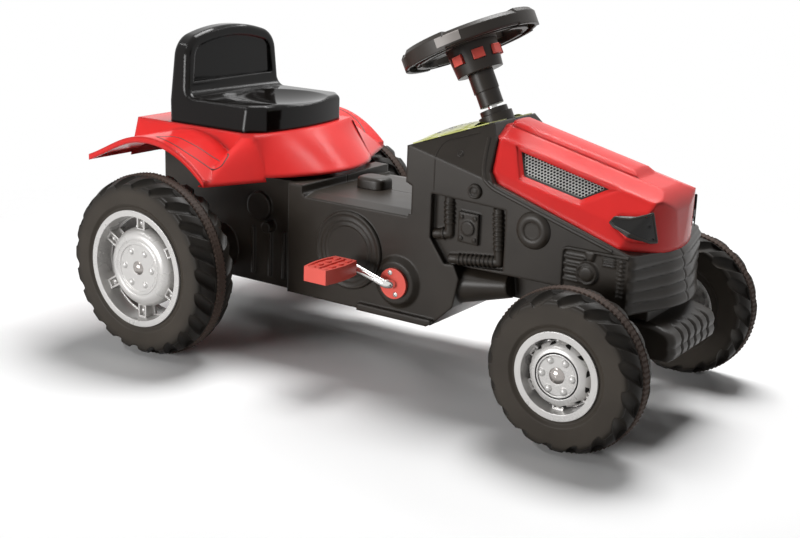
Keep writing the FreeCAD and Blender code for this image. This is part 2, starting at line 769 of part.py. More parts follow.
def hood_and_trim():
    form = hood_form(0.0)
    skin_depth = 2.5
    skin = form.cut(hood_form(skin_depth, True))
    shell = form.fuse(hood_panel()).cut(hood_form(hood_wall, True))
    frame = hood_flank(-6.0, 1.8).common(flank_prism(grille_outline, 4.0))
    window = hood_flank(-6.0, flank_wall + 3).common(flank_prism(grille_outline, 0.0))
    lamp_pocket = skin.common(flank_prism(headlight_outline, 0.0))
    cuts = [frame, window, lamp_pocket]
    shell = shell.cut(cuts + [mirrored(cut) for cut in cuts])
    backing = hood_flank(flank_wall, flank_wall + 2).common(flank_prism(grille_outline, 3.0))
    mesh = hood_flank(flank_wall - grille_thickness, flank_wall)
    mesh = mesh.common(flank_prism(grille_outline, -part_gap))
    holes = []
    row_pitch = grille_hole_pitch * math.sqrt(0.75)
    x_first, x_last = min(x for x, z in grille_outline), max(x for x, z in grille_outline)
    z_first, z_last = min(z for x, z in grille_outline), max(z for x, z in grille_outline)
    for row in range(int((z_last - z_first) / row_pitch)):
        for column in range(int((x_last - x_first) / grille_hole_pitch)):
            x = x_first + grille_hole_pitch * (column + 0.5 * (row % 2))
            z = z_first + row_pitch * (row + 0.5)
            holes.append(y_cylinder(grille_hole_radius, x, z, -hood_hem[0], -grille_border))
    rim_room = flank_prism(grille_outline, -part_gap - grille_border - grille_hole_radius)
    inside = [hole for hole in holes if rim_room.isInside(hole.CenterOfMass, 0.01, True)]
    mesh = mesh.cut(inside)
    lamp = skin.common(flank_prism(headlight_outline, -part_gap / 2))
    return shell, backing.cut(shell), mesh, lamp


hood, grille_panel, grille_mesh, headlight = hood_and_trim()
save("hood", hood)
for name, shape in (("grille_panel", grille_panel), ("grille_mesh", grille_mesh), ("headlight", headlight)):
    save(name + "_right", shape)
    save(name + "_left", mirrored(shape))
    print(name, shape.isValid(), len(shape.Solids), round(shape.Volume))
print("hood done", hood.isValid(), len(hood.Solids), round(hood.Volume))


# Plinth, fenders and seat
def plinth_ring(z, half_width, corner_x, front_x_here, inset):
    rear = tail_x + 2 + inset
    width = half_width - inset
    corner = corner_x - inset
    return outline([(rear, -width), (corner, -width), ((front_x_here - inset, 0.0), (corner, width)),
                    (rear, width)],
                   plan(z))


def plinth_form(inset, opened=False):
    low = plinth_bottom - (1.0 if opened else 0.0)
    top = plinth_top - inset
    low_ring = plinth_ring(low, plinth_base_half_width, -196.0, -139.0, inset)
    top_ring = plinth_ring(top, plinth_top_half_width, -217.0, -203.0, inset)
    return Part.makeLoft([low_ring, top_ring], True, True)


fender_line = [(tail_x, 249.0), (-398.0, 264.0), (-352.0, 282.5), (-308.0, 285.0), (-258.0, 268.0),
               (-236.0, 253.0), (fender_tip_x, 241.0)]


def fender_curve(drop):
    curve = Part.BSplineCurve()
    curve.interpolate([vec(x, 0, z - drop) for x, z in fender_line])
    return curve


# A strip of fender: the space between the curve lowered twice, drawn out sideways
def fender_wing(drop, floor, y_from, y_to):
    top = fender_curve(drop)
    lower = fender_curve(floor)
    ends = [Part.LineSegment(top.StartPoint, lower.StartPoint),
            Part.LineSegment(top.EndPoint, lower.EndPoint)]
    edges = [curve.toShape() for curve in [top, lower] + ends]
    face = Part.Face(Part.Wire(Part.__sortEdges__(edges)))
    face.translate(vec(0, y_from, 0))
    return face.extrude(vec(0, y_to - y_from, 0))


# A hollow web that leads the fender's front tip into the plinth
def fender_web(inset, opened=False):
    low = fender_line[-1][1] - fender_skirt - (5.0 if opened else 0.0)
    high = plinth_top - 4.0 - inset
    tip = fender_tip_x - inset
    root = plinth_base_half_width - 6.0
    top_root = plinth_top_half_width - 2.0
    low_ring = outline([(-262.0 + inset, -root + inset), (tip - 10 + 2 * inset, inset - fender_half_width),
                        (tip, inset - fender_half_width), (-186.0 - inset, -root + inset)], plan(low))
    high_ring = outline([(-240.0 + inset, -top_root + inset), (-237.0 + inset, inset - top_root - 5),
                         (-226.0 - inset, inset - top_root - 5), (-212.0 - inset, -top_root + inset)],
                         plan(high))
    return Part.makeLoft([low_ring, high_ring], True, True)


def fender_and_plinth():
    edge = plinth_wall
    skirt_room = fender_skirt + 40
    wing = fender_wing(0.0, fender_skirt, -80.0, -fender_half_width)
    wing_room = fender_wing(edge, skirt_room, -70.0, edge - fender_half_width)
    web = fender_web(0.0)
    web_room = fender_web(edge, True)
    behind_tip = box((tail_x + edge, fender_tip_x - edge), (-300.0, 300.0), (100.0, 400.0))
    pieces = [wing, web]
    rooms = [wing_room.common(behind_tip), web_room]
    shape = plinth_form(0.0).fuse(pieces + [mirrored(piece) for piece in pieces])
    room = plinth_form(edge, True).fuse(rooms + [mirrored(piece) for piece in rooms])
    return max(shape.cut(room).Solids, key=lambda solid: solid.Volume)


fender_seat_base = fender_and_plinth()
save("fender_seat_base", fender_seat_base)
print("fender", fender_seat_base.isValid(), len(fender_seat_base.Solids), round(fender_seat_base.Volume))


# Where a line from a point touches a circle, on one side of it or the other
def touch_point(point, centre, radius, turn):
    run = (centre[0] - point[0], centre[1] - point[1])
    distance = math.hypot(run[0], run[1])
    angle = math.atan2(run[1], run[0]) + turn * math.asin(radius / distance)
    length = math.sqrt(distance ** 2 - radius ** 2)
    return (point[0] + length * math.cos(angle), point[1] + length * math.sin(angle))


# The seat back from the front: straight leaning sides, round corners and a shallow crown, all tangent
def seat_arch(half, low, top, inset):
    corner = back_corner_radius - inset
    crown = back_crown_radius - inset
    centre_y = back_shoulder - back_corner_radius
    crown_z = top - crown
    centre_z = crown_z + math.sqrt((crown - corner) ** 2 - centre_y ** 2)
    side_touch = touch_point((half, low), (centre_y, centre_z), corner, -1)
    share = crown / (crown - corner)
    top_touch = (centre_y * share, crown_z + (centre_z - crown_z) * share)
    side_angle = math.atan2(side_touch[1] - centre_z, side_touch[0] - centre_y)
    top_angle = math.atan2(top_touch[1] - centre_z, top_touch[0] - centre_y)
    turn = (side_angle + top_angle) / 2
    middle = (centre_y + corner * math.cos(turn), centre_z + corner * math.sin(turn))

    def flipped(point):
        return (-point[0], point[1])

    return [(-half, low), flipped(side_touch), (flipped(middle), flipped(top_touch)),
            ((0.0, top), top_touch),
            (middle, side_touch), (half, low)]


def seat_form(inset, opened=False):
    low = plinth_top - (5.0 if opened else 0.0)
    rear = seat_rear_x + inset
    nose = seat_front_x - inset
    pan = seat_pan_z - inset
    top = seat_back_top - inset
    back = seat_back_x - inset
    root = 14.0
    sag = root * (1 - math.sqrt(0.5))
    over = top + 10
    profile = [(rear, low), (rear + 6, over), (back, over), (back + 3, pan + root),
               ((back + 3 + sag, pan + sag), (back + 3 + root, pan)), (nose + 5, pan), (nose + 5, low)]
    half = seat_half_width - inset
    footprint = [(rear, -half + 14), ((rear + 4, -half + 4), (rear + 14, -half)), (nose - 30, -half),
                 (nose - 9, -half + 22), ((nose, 0.0), (nose - 9, half - 22)), (nose - 30, half),
                 (rear + 14, half), ((rear + 4, half - 4), (rear, half - 14))]
    body = side_prism(profile, -200.0, 200.0)
    body = body.common(plan_prism(footprint, 200.0, 500.0))
    return body.common(prism(seat_arch(half, low, top, inset), front(-450.0), vec(400.0, 0, 0)))


# Edges above a height where two faces meet at more than so many degrees
def sharp_edges(shape, height, least):
    chosen = []
    for edge in shape.Edges:
        faces = shape.ancestorsOfType(edge, Part.Face)
        if len(faces) != 2 or edge.BoundBox.ZMax < height:
            continue
        middle = edge.valueAt((edge.FirstParameter + edge.LastParameter) / 2)
        normals = [face.normalAt(*face.Surface.parameter(middle)) for face in faces]
        if math.degrees(normals[0].getAngle(normals[1])) > least:
            chosen.append(edge)
    return chosen


def seat():
    dish_centre = vec(-268.0, 0, seat_pan_z + dish_radius - dish_depth)
    pan_only = box((-334.0, 0.0), (-150.0, 150.0), (0.0, 500.0))
    dish = Part.makeSphere(dish_radius, dish_centre).common(pan_only)
    under_dish = Part.makeSphere(dish_radius + seat_wall, dish_centre).common(pan_only)
    block = seat_form(0.0)
    edges = [edge for edge in sharp_edges(block, plinth_top + 1, 25.0)
             if edge.BoundBox.XMin > seat_back_x - 5 or edge.BoundBox.ZMin > seat_pan_z]
    shape = block.makeFillet(seat_edge_radius, edges).cut(dish)
    room = seat_form(seat_wall + 0.5, True).cut(under_dish)
    border = 15.0
    depth = 1.8
    panel = seat_arch(back_shoulder - border + 4, seat_pan_z + 20, seat_back_top - border, border)
    pocket = prism(panel, front(seat_back_x - depth), vec(20.0, 0, 0))
    deep = prism(panel, front(seat_back_x - depth - seat_wall), vec(20.0, 0, 0))
    return shape.cut(pocket).cut(room.cut(deep))


seat_shape = seat()
save("seat", seat_shape)
print("seat", seat_shape.isValid(), len(seat_shape.Solids), round(seat_shape.Volume))


# Dash panel, set round the flange of the upper column bush
def dash_strip(x_from, x_to, rise, half_width):
    lean = rise * math.sin(math.radians(dash_slope))
    lift = rise * math.cos(math.radians(dash_slope))
    points = [(x_from, dash_z(x_from)), (x_to, dash_z(x_to)), (x_to - lean, dash_z(x_to) + lift),
              (x_from - lean, dash_z(x_from) + lift)]
    return side_prism(points, -half_width, half_width)


dash_panel = dash_strip(bridge_front_x + 3, tower_top_x - 6, 1.5, body_half_width - 8)
corner = tower_corner(1.0)
dash_panel = dash_panel.cut([column_cylinder(bush_flange_radius + part_gap, 60.0, 160.0), corner,
                             mirrored(corner)])
save("dash_panel", dash_panel)

under_dash = side_prism([(-100.0, dash_z(-100.0)), (300.0, dash_z(300.0)), (300.0, 0.0), (-100.0, 0.0)],
                        -100.0, 100.0)
flange = column_cylinder(bush_flange_radius, flange_top, 125.0).cut(under_dash)
rod_bore = steering_rod_radius + running_clearance
spigot = column_cylinder(dash_bush_radius, flange_top + 4, 128.0)
dash_bush = flange.fuse(spigot).cut(column_cylinder(rod_bore, 60.0, 160.0))
save("dash_bush", dash_bush)
floor_down = (wheel_centre[1] - chassis_bottom) / math.cos(tilt)
lower_bush = column_cylinder(lower_bush_radius, floor_down - 14, floor_down + 8)
lower_bush = lower_bush.cut(column_cylinder(rod_bore, floor_down - 40, floor_down + 40))
save("column_lower_bush", lower_bush)


# Steering wheel, hub with its keys, and the column
def spun(shape, angle):
    copy = shape.copy()
    copy.rotate(column_point(0), column_down * -1, angle)
    return copy


def steering_wheel():
    outer = steering_wheel_radius
    inner = outer - steering_rim_width
    half = steering_rim_height / 2
    ring = column_revolve([(inner, -half + 5), (inner + 5, -half), (outer - 5, -half), (outer, -half + 5),
                           (outer, half - 2), (outer - 2, half), (inner + 2, half), (inner, half - 2)])
    hollow = column_revolve([(inner + 5, half - 8), (outer - 5, half - 8), (outer - 5, half + 5),
                             (inner + 5, half + 5)])
    grip = column_revolve([(inner - 2, -half + 5), (inner + 4, -half - 2), (outer - 4, -half - 2),
                           (outer + 0.0, -half + 3),
                           (outer + 0.0, half + 1), (inner - 2, half + 1)], 46.0)
    grip = grip.cut(hollow)
    ring = ring.cut(hollow)
    grips = [spun(grip, angle) for angle in (33.0, 101.0, 213.0, 281.0)]
    arm = prism([(hub_radius - 8, -14.0), (inner + 3, -10.0), (inner + 3, 10.0), (hub_radius - 8, 14.0)],
                lambda out, left: column_point(-5.0, out, left), column_down * 8.0)
    arms = [spun(arm, angle) for angle in (90.0, 180.0, 270.0)]
    pad = column_revolve([(0.0, -9.0), (hub_radius - 6, -9.0), (hub_radius, -4.0), (hub_radius, 6.0),
                          (0.0, 6.0)])
    return ring.fuse(grips + arms + [pad])


key_angles = [key_step * (index - (key_count - 1) / 2) for index in range(key_count)]
housing_top = 6.0 + seat_clearance
key_inner = hub_radius - 7.0
key_outer = hub_radius + 1.0


def key_block(grow, inner):
    half = key_half_width + grow
    return prism([(inner, -half), (key_outer + 8 * grow, -half), (key_outer + 8 * grow, half),
                  (inner, half)],
                 lambda out, left: column_point(key_from - grow, out, left),
                 column_down * (key_to - key_from + 2 * grow))


def hub_housing():
    shape = column_revolve([(0.0, housing_top), (hub_radius - 0.5, housing_top),
                            (hub_radius - 4, housing_bottom),
                            (0.0, housing_bottom)])
    pocket = key_block(part_gap, key_inner - key_travel - part_gap)
    cuts = [spun(pocket, angle) for angle in key_angles]
    cuts.append(column_cylinder(steering_rod_radius + seat_clearance, rod_top, 60.0))
    return shape.cut(cuts)


steering_keys = [spun(key_block(0.0, key_inner), angle) for angle in key_angles]
save("steering_wheel", steering_wheel())
save("steering_hub_housing", hub_housing())
for index, key in enumerate(steering_keys):
    save("steering_key_%d" % (index + 1), key)

sleeve = column_cylinder(sleeve_radius, housing_bottom, sleeve_end)
half_shell = column_cylinder(sleeve_radius + 1.5, housing_bottom, housing_bottom + 25)
near_side = prism([(-40.0, -40.0), (40.0, -40.0), (40.0, 4.0), (-40.0, 4.0)],
                  lambda out, left: column_point(0.0, out, left), column_down * 120.0)
rod_hole = column_cylinder(steering_rod_radius + seat_clearance, 0.0, 160.0)
column_sleeve = sleeve.fuse(half_shell.common(near_side)).cut(rod_hole)
save("column_sleeve", column_sleeve)
collar = column_cylinder(bush_flange_radius - 4, flange_top - part_gap - 7,
                         flange_top - part_gap).cut(rod_hole)
save("column_collar", collar)

# The rod's lower end: a plate that points backwards and a pin that stands up from it
tie_down = floor_down + tie_plate_drop
arm_down = tie_down + tie_rod_thickness / 2 + 2 * part_gap
arm_plate = prism([(0.0, -10.0), ((10.0, 0.0), (0.0, 10.0)), (-crank_arm, 8.0),
                   ((-crank_arm - 8, 0.0), (-crank_arm, -8.0))],
                  lambda out, left: column_point(arm_down, out, left), column_down * arm_thickness)
arm_pin = column_cylinder(link_pin_radius, tie_down - tie_rod_thickness / 2 - 4, arm_down + 1, -crank_arm)
rod = column_cylinder(steering_rod_radius, rod_top, arm_down + arm_thickness)
save("steering_rod", rod.fuse([arm_plate, arm_pin]))

# Track rod: a slotted plate for the crank pin, two bars, and a slotted pad over each knuckle pin
travel = math.radians(steering_travel)
side_shift = crank_arm * math.sin(travel)
knuckle_travel = math.asin(side_shift / knuckle_arm)
tie_x = front_x - knuckle_arm
slot_low = -crank_arm - link_pin_radius - slot_play
slot_high = link_pin_radius + slot_play - crank_arm * math.cos(travel)
slot_half = link_pin_radius + slot_play


def tie_plate(grow, thickness):
    low = slot_low - grow
    high = slot_high + grow
    half = slot_half + grow
    return prism([(low, -half), (high, -half), (high, half), (low, half)],
                 lambda out, left: column_point(tie_down - thickness / 2, out, left),
                 column_down * thickness)


def tie_pad(grow, thickness):
    reach = knuckle_arm * (1 - math.cos(knuckle_travel))
    wide = link_pin_radius + pad_play + grow
    return box((tie_x - wide, tie_x + reach + wide), (-kingpin_y - wide, wide - kingpin_y),
               (tie_rod_z - thickness / 2, tie_rod_z + thickness / 2))


def tie_rod():
    pad_edge = kingpin_y - link_pin_radius - pad_play - rim_land
    bar = cylinder(tie_bar_radius, vec(tie_x, -pad_edge - 3, tie_rod_z),
                   column_point(tie_down, -crank_arm, -slot_half - 2))
    pad = tie_pad(rim_land, tie_rod_thickness)
    slot = tie_pad(0.0, tie_rod_thickness + 10)
    shape = tie_plate(rim_land, tie_rod_thickness).fuse([bar, mirrored(bar), pad, mirrored(pad)])
    return shape.cut([tie_plate(0.0, tie_rod_thickness + 10), slot, mirrored(slot)])


save("tie_rod", tie_rod())

# Front axle beam and knuckles
eye_radius = kingpin_radius + 8.0


def axle_beam():
    bar = box((front_x - beam_half_depth, front_x + beam_half_depth), (-kingpin_y, kingpin_y),
              (beam_bottom + 3, beam_top - 3))
    saddle = box((front_x - 20, front_x + 20), (-44.0, 44.0), (beam_top - 4, chassis_bottom))
    eye = cylinder(eye_radius, vec(front_x, -kingpin_y, beam_bottom), vec(front_x, -kingpin_y, beam_top))
    bore = cylinder(kingpin_radius + running_clearance, vec(front_x, -kingpin_y, 0),
                    vec(front_x, -kingpin_y, 200))
    return bar.fuse([saddle, eye, mirrored(eye)]).cut([bore, mirrored(bore)])


save("front_axle_beam", axle_beam())


def knuckle():
    web_y = kingpin_y + eye_radius + 1.0
    web_outer = web_y + 8.0
    nave_y = front_track_half - front_tyre_width / 2 + nave_setback
    top = beam_top + part_gap
    low = beam_bottom - part_gap
    lug = [(front_x - 12, -web_outer), (front_x - 12, -kingpin_y),
           ((front_x, 12 - kingpin_y), (front_x + 12, -kingpin_y)),
           (front_x + 12, -web_outer)]
    upper = plan_prism(lug, top, top + lug_thickness)
    lower = plan_prism(lug, low - lug_thickness, low)
    web = box((front_x - 12, front_x + 12), (-web_outer, -web_y),
              (low - lug_thickness, top + lug_thickness))
    pin = cylinder(kingpin_radius, vec(front_x, -kingpin_y, low - 2), vec(front_x, -kingpin_y, top + 2))
    collar = y_cylinder(stub_axle_radius + 4, front_x, front_wheel_radius, -web_y - 2, part_gap - nave_y)
    stub_end = front_track_half + front_rim.pocket + 6
    stub = y_cylinder(stub_axle_radius, front_x, front_wheel_radius, -web_y - 2, -stub_end)
    arm = plan_prism([(front_x, 9 - kingpin_y), (tie_x, 8 - kingpin_y),
                      ((tie_x - 8, -kingpin_y), (tie_x, -kingpin_y - 8)),
                      (front_x, -kingpin_y - 9)], top, top + lug_thickness)
    arm_pin = cylinder(link_pin_radius, vec(tie_x, -kingpin_y, top), vec(tie_x, -kingpin_y, tie_rod_z + 6))
    return upper.fuse([lower, web, pin, collar, stub, arm, arm_pin])


right_knuckle = knuckle()
save("knuckle_right", right_knuckle)
save("knuckle_left", mirrored(right_knuckle))
front_nut = on_wheel(push_nut(front_rim, stub_axle_radius), front_x, front_track_half, front_wheel_radius)
save("front_axle_nut_right", front_nut)
save("front_axle_nut_left", mirrored(front_nut))

# Rear axle, its bushes and nuts
axle_end = rear_track_half + rear_rim.pocket + 6
save("rear_axle", y_cylinder(rear_axle_radius, rear_x, rear_wheel_radius, -axle_end, axle_end))
bush_bore = rear_axle_radius + running_clearance
bush = y_ring(bush_radius, bush_bore, rear_x, rear_wheel_radius, -trumpet_tip_y, 20 - trumpet_tip_y)
bush = bush.fuse(y_ring(bush_radius + 6, bush_bore, rear_x, rear_wheel_radius,
                        -trumpet_tip_y - bush_flange, -trumpet_tip_y))
save("rear_axle_bushes", Part.Compound([bush, mirrored(bush)]))
rear_nut = on_wheel(push_nut(rear_rim, rear_axle_radius), rear_x, rear_track_half, rear_wheel_radius)
save("rear_axle_nuts", Part.Compound([rear_nut, mirrored(rear_nut)]))
print("steering and axles done")


# One round rod bent round rounded corners
def bent_rod(points, radius, bend):
    edges = []
    here = points[0]
    for before, corner, after in zip(points[:-2], points[1:-1], points[2:]):
        back = (before - corner).normalize()
        ahead = (after - corner).normalize()
        enter = corner + back * bend
        leave = corner + ahead * bend
        middle = corner + (back + ahead) * (bend * (1 - math.sqrt(0.5)))
        edges.append(Part.LineSegment(here, enter).toShape())
        edges.append(Part.Arc(enter, middle, leave).toShape())
        here = leave
    edges.append(Part.LineSegment(here, points[-1]).toShape())
    start = points[0]
    profile = Part.Wire([Part.makeCircle(radius, start, points[1] - start)])
    return Part.Wire(edges).makePipeShell([profile], True, True)


crank_angle = math.radians(180 - crank_lift)
arm_x = crank_radius * math.cos(crank_angle)
arm_z = crank_radius * math.sin(crank_angle)
arm_y = pedal_inner_y - crank_bend
spindle_y = pedal_inner_y + pedal_length - 8.0
crank_points = [vec(crank_x + arm_x, -spindle_y, crank_z + arm_z),
                vec(crank_x + arm_x, -arm_y, crank_z + arm_z),
                vec(crank_x, -arm_y, crank_z), vec(crank_x, arm_y, crank_z),
                vec(crank_x - arm_x, arm_y, crank_z - arm_z),
                vec(crank_x - arm_x, spindle_y, crank_z - arm_z)]
save("pedal_crank", bent_rod(crank_points, crank_rod_radius, crank_bend))

bearing_bore = crank_rod_radius + running_clearance
bearing_boss = bearing_plate_radius - 8.0
bearing_plate = y_cylinder(bearing_plate_radius, crank_x, crank_z, -hub_face_y - plate_thickness,
                           -hub_face_y)
bearing_plate = bearing_plate.fuse(y_cylinder(bearing_boss, crank_x, crank_z, -hub_face_y, 16 - hub_face_y))
bearing_plate = bearing_plate.cut(y_cylinder(bearing_bore, crank_x, crank_z, -200.0, 0.0))
save("bearing_plate_right", bearing_plate)
save("bearing_plate_left", mirrored(bearing_plate))


# Pedal: boat-shaped block with two rows of studs and a rib between them
def pedal():
    y_in = -pedal_inner_y
    y_out = y_in - pedal_length
    half = pedal_width / 2
    bow = 4.0
    centre_x = crank_x + arm_x
    low = crank_z + arm_z - pedal_height / 2
    top = low + pedal_height
    y_mid = (y_in + y_out) / 2
    shape = plan_prism([(centre_x - half + bow, y_in),
                        ((centre_x - half, y_mid), (centre_x - half + bow, y_out)),
                        (centre_x + half - bow, y_out),
                        ((centre_x + half, y_mid), (centre_x + half - bow, y_in))], low, top)
    tray = plan_prism([(centre_x - half + bow + 3, y_in - 4), ((centre_x - half + 3, y_mid),
                                                               (centre_x - half + bow + 3, y_out + 4)),
                       (centre_x + half - bow - 3, y_out + 4), ((centre_x + half - 3, y_mid),
                                                                (centre_x + half - bow - 3, y_in - 4))],
                      top - 2.0, top + 5)
    shape = shape.cut([tray, y_cylinder(crank_rod_radius + running_clearance, centre_x,
                                        low + pedal_height / 2,
                                        y_in + 5, -spindle_y - 1)])
    extras = [box((centre_x - 1.5, centre_x + 1.5), (y_out + 3, y_in - 3), (top - 3, top))]
    for offset in (-0.45 * half, 0.45 * half):
        for row in range(4):
            y = y_in - pedal_length * (row + 0.5) / 4
            extras.append(cylinder(4.2, vec(centre_x + offset, y, top - 3), vec(centre_x + offset, y, top)))
    return shape.fuse(extras)


right_pedal = pedal()
left_pedal = moved(mirrored(right_pedal), -2 * arm_x, 0, -2 * arm_z)
save("pedal_right", right_pedal)
save("pedal_left", left_pedal)


# Chain drive. The pitch is drawn out a little so that a whole even number of links closes the loop.
def loop_length(pitch):
    big = front_teeth * pitch / (2 * math.pi)
    small = rear_teeth * pitch / (2 * math.pi)
    lean = math.asin((big - small) / span)
    return 2 * span * math.cos(lean) + math.pi * (big + small) + 2 * (big - small) * lean


span = math.hypot(crank_x - rear_x, crank_z - rear_wheel_radius)
links = 2 * round(loop_length(nominal_pitch) / (2 * nominal_pitch))
chain_pitch = nominal_pitch
for repeat in range(40):
    chain_pitch = loop_length(chain_pitch) / links
big_radius = front_teeth * chain_pitch / (2 * math.pi)
small_radius = rear_teeth * chain_pitch / (2 * math.pi)
lean = math.asin((big_radius - small_radius) / span)
slope = math.atan2(crank_z - rear_wheel_radius, crank_x - rear_x)
big_arc = (math.pi + 2 * lean) * big_radius
small_arc = (math.pi - 2 * lean) * small_radius
straight = span * math.cos(lean)


# Place on the loop, starting where the top run leaves the pedal sprocket and going backwards
def chain_place(distance):
    distance %= 2 * straight + big_arc + small_arc
    up = slope + math.pi / 2 + lean
    down = slope - math.pi / 2 - lean
    big = (crank_x, crank_z)
    small = (rear_x, rear_wheel_radius)

    def around(centre, radius, angle):
        return (centre[0] + radius * math.cos(angle), centre[1] + radius * math.sin(angle))

    def between(a, b, share):
        return (a[0] + (b[0] - a[0]) * share, a[1] + (b[1] - a[1]) * share)

    if distance < straight:
        return between(around(big, big_radius, up), around(small, small_radius, up), distance / straight)
    distance -= straight
    if distance < small_arc:
        return around(small, small_radius, up + distance / small_radius)
    distance -= small_arc
    if distance < straight:
        return between(around(small, small_radius, down), around(big, big_radius, down),
                       distance / straight)
    return around(big, big_radius, down + (distance - straight) / big_radius)


inner_gap = sprocket_thickness / 2 + 0.2


def link(first, second, outer):
    reach = math.hypot(second[0] - first[0], second[1] - first[1])
    start = inner_gap + (link_plate + 0.1 if outer else 0.0)
    high = link_half_height
    plate = prism([(0.0, -high), (reach, -high), ((reach + high, 0.0), (reach, high)), (0.0, high),
                   ((-high, 0.0), (0.0, -high))],
                  side(start), vec(0, link_plate, 0))
    ends = [(0.0, 0.0), (reach, 0.0)]
    pin_radius = 1.8
    bored = pin_radius + running_clearance
    if outer:
        rods = [y_cylinder(pin_radius, x, z, -start - link_plate, start + link_plate) for x, z in ends]
        shape = plate.fuse([mirrored(plate)] + rods)
    else:
        rods = [y_cylinder(roller_radius, x, z, -start, start) for x, z in ends]
        holes = [y_cylinder(bored, x, z, -20.0, 20.0) for x, z in ends]
        shape = plate.fuse([mirrored(plate)] + rods).cut(holes)
    angle = math.degrees(math.atan2(second[1] - first[1], second[0] - first[0]))
    shape.rotate(vec(0, 0, 0), Y_AXIS, -angle)
    return moved(shape, first[0], chain_plane_y, first[1])


pins = [chain_place(index * chain_pitch) for index in range(links)]
chain_links = [link(pins[index], pins[(index + 1) % links], index % 2 == 1) for index in range(links)]
save("drive_chain", Part.Compound(chain_links))


def sprocket(centre, radius, teeth, bore, hub):
    half = sprocket_thickness / 2
    outer = radius + tooth_share * chain_pitch
    shape = y_cylinder(outer, centre[0], centre[1], chain_plane_y - half, chain_plane_y + half)
    nearest = [pin for pin in pins
               if abs(math.hypot(pin[0] - centre[0], pin[1] - centre[1]) - radius) < 0.01][0]
    phase = math.atan2(nearest[1] - centre[1], nearest[0] - centre[0])
    room = roller_radius + 2 * part_gap
    tip = 0.4 * chain_pitch
    flare = room + 1.2
    gap = prism([(radius, -room), (radius + tip, -flare), (radius + tip, flare), (radius, room),
                 ((radius - room, 0.0), (radius, -room))], side(chain_plane_y - 5), vec(0, 10, 0))
    gaps = []
    for tooth in range(teeth):
        angle = phase + 2 * math.pi * tooth / teeth
        gaps.append(moved(turned(gap, -math.degrees(angle)), centre[0], 0, centre[1]))
    shape = shape.cut(gaps).fuse(y_cylinder(hub, centre[0], centre[1], chain_plane_y - 16,
                                            chain_plane_y - half))
    return shape.cut(y_cylinder(bore, centre[0], centre[1], 0.0, 100.0))


save("crank_sprocket", sprocket((crank_x, crank_z), big_radius, front_teeth,
                                crank_rod_radius + seat_clearance, 12.0))
save("rear_sprocket", sprocket((rear_x, rear_wheel_radius), small_radius, rear_teeth,
                               rear_axle_radius + seat_clearance, 13.0))
print("drive done, links", links, "pitch", round(chain_pitch, 3))


# Front weight block, bridge cover and tow hitch
def weight_block():
    nose = nose_block_x
    half = 88.0
    shape = side_prism([(322.0, 90.0), (322.0, chassis_bottom), (340.0, chassis_bottom), (340.0, 147.0),
                        (352.0, 147.0),
                        (nose - 20, 126.0), (nose - 2, 119.0), (nose, 115.0), (nose, 96.0),
                        (nose - 7, 90.0)], -half, half)
    shape = shape.common(plan_prism([(300.0, -half), (nose - 20, -half),
                                     ((nose - 5, -half + 6), (nose, -half + 18)),
                                     (nose, half - 18), ((nose - 5, half - 6), (nose - 20, half)),
                                     (300.0, half)], 0.0, 300.0))
    slots = (-60.0, -36.0, -12.0, 12.0, 36.0, 60.0)
    cuts = [box((nose - 9, nose + 1), (y - 3, y + 3), (98.0, 140.0)) for y in slots]
    cuts.append(box((nose - 1.2, nose + 1), (-half, half), (106.0, 108.0)))
    return shape.cut(cuts)


save("front_weight_block", weight_block())

cover = box((block_centre_x - block_half_length, block_centre_x + block_half_length),
            (-block_half_width, block_half_width),
            (bridge_top, bridge_top + block_height))
cover = cover.makeChamfer(4.0, [edge for edge in cover.Edges if edge.CenterOfMass.z > bridge_top + 1])
save("bridge_cover", cover)

hitch_x = tail_x + 16.0
hitch_base = box((-406.0, -400.0), (-28.0, 28.0), (hitch_z - 16, hitch_z + 26))
tongue = plan_prism([(-404.0, -16.0), (hitch_x, -14.0), ((hitch_x - 14, 0.0), (hitch_x, 14.0)),
                     (-404.0, 16.0)],
                    hitch_z - hitch_thickness / 2, hitch_z + hitch_thickness / 2)
hitch = hitch_base.fuse(tongue).cut(cylinder(hitch_bore_radius, vec(hitch_x, 0, 0), vec(hitch_x, 0, 200)))
save("tow_hitch", hitch)
print("all done, origin", origin_x, "tie", round(tie_x, 2), round(math.degrees(knuckle_travel), 2),
      round(side_shift, 2))
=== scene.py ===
import json
import math

import bpy
import numpy as np
from mathutils import Matrix, Vector
from mathutils.bvhtree import BVHTree

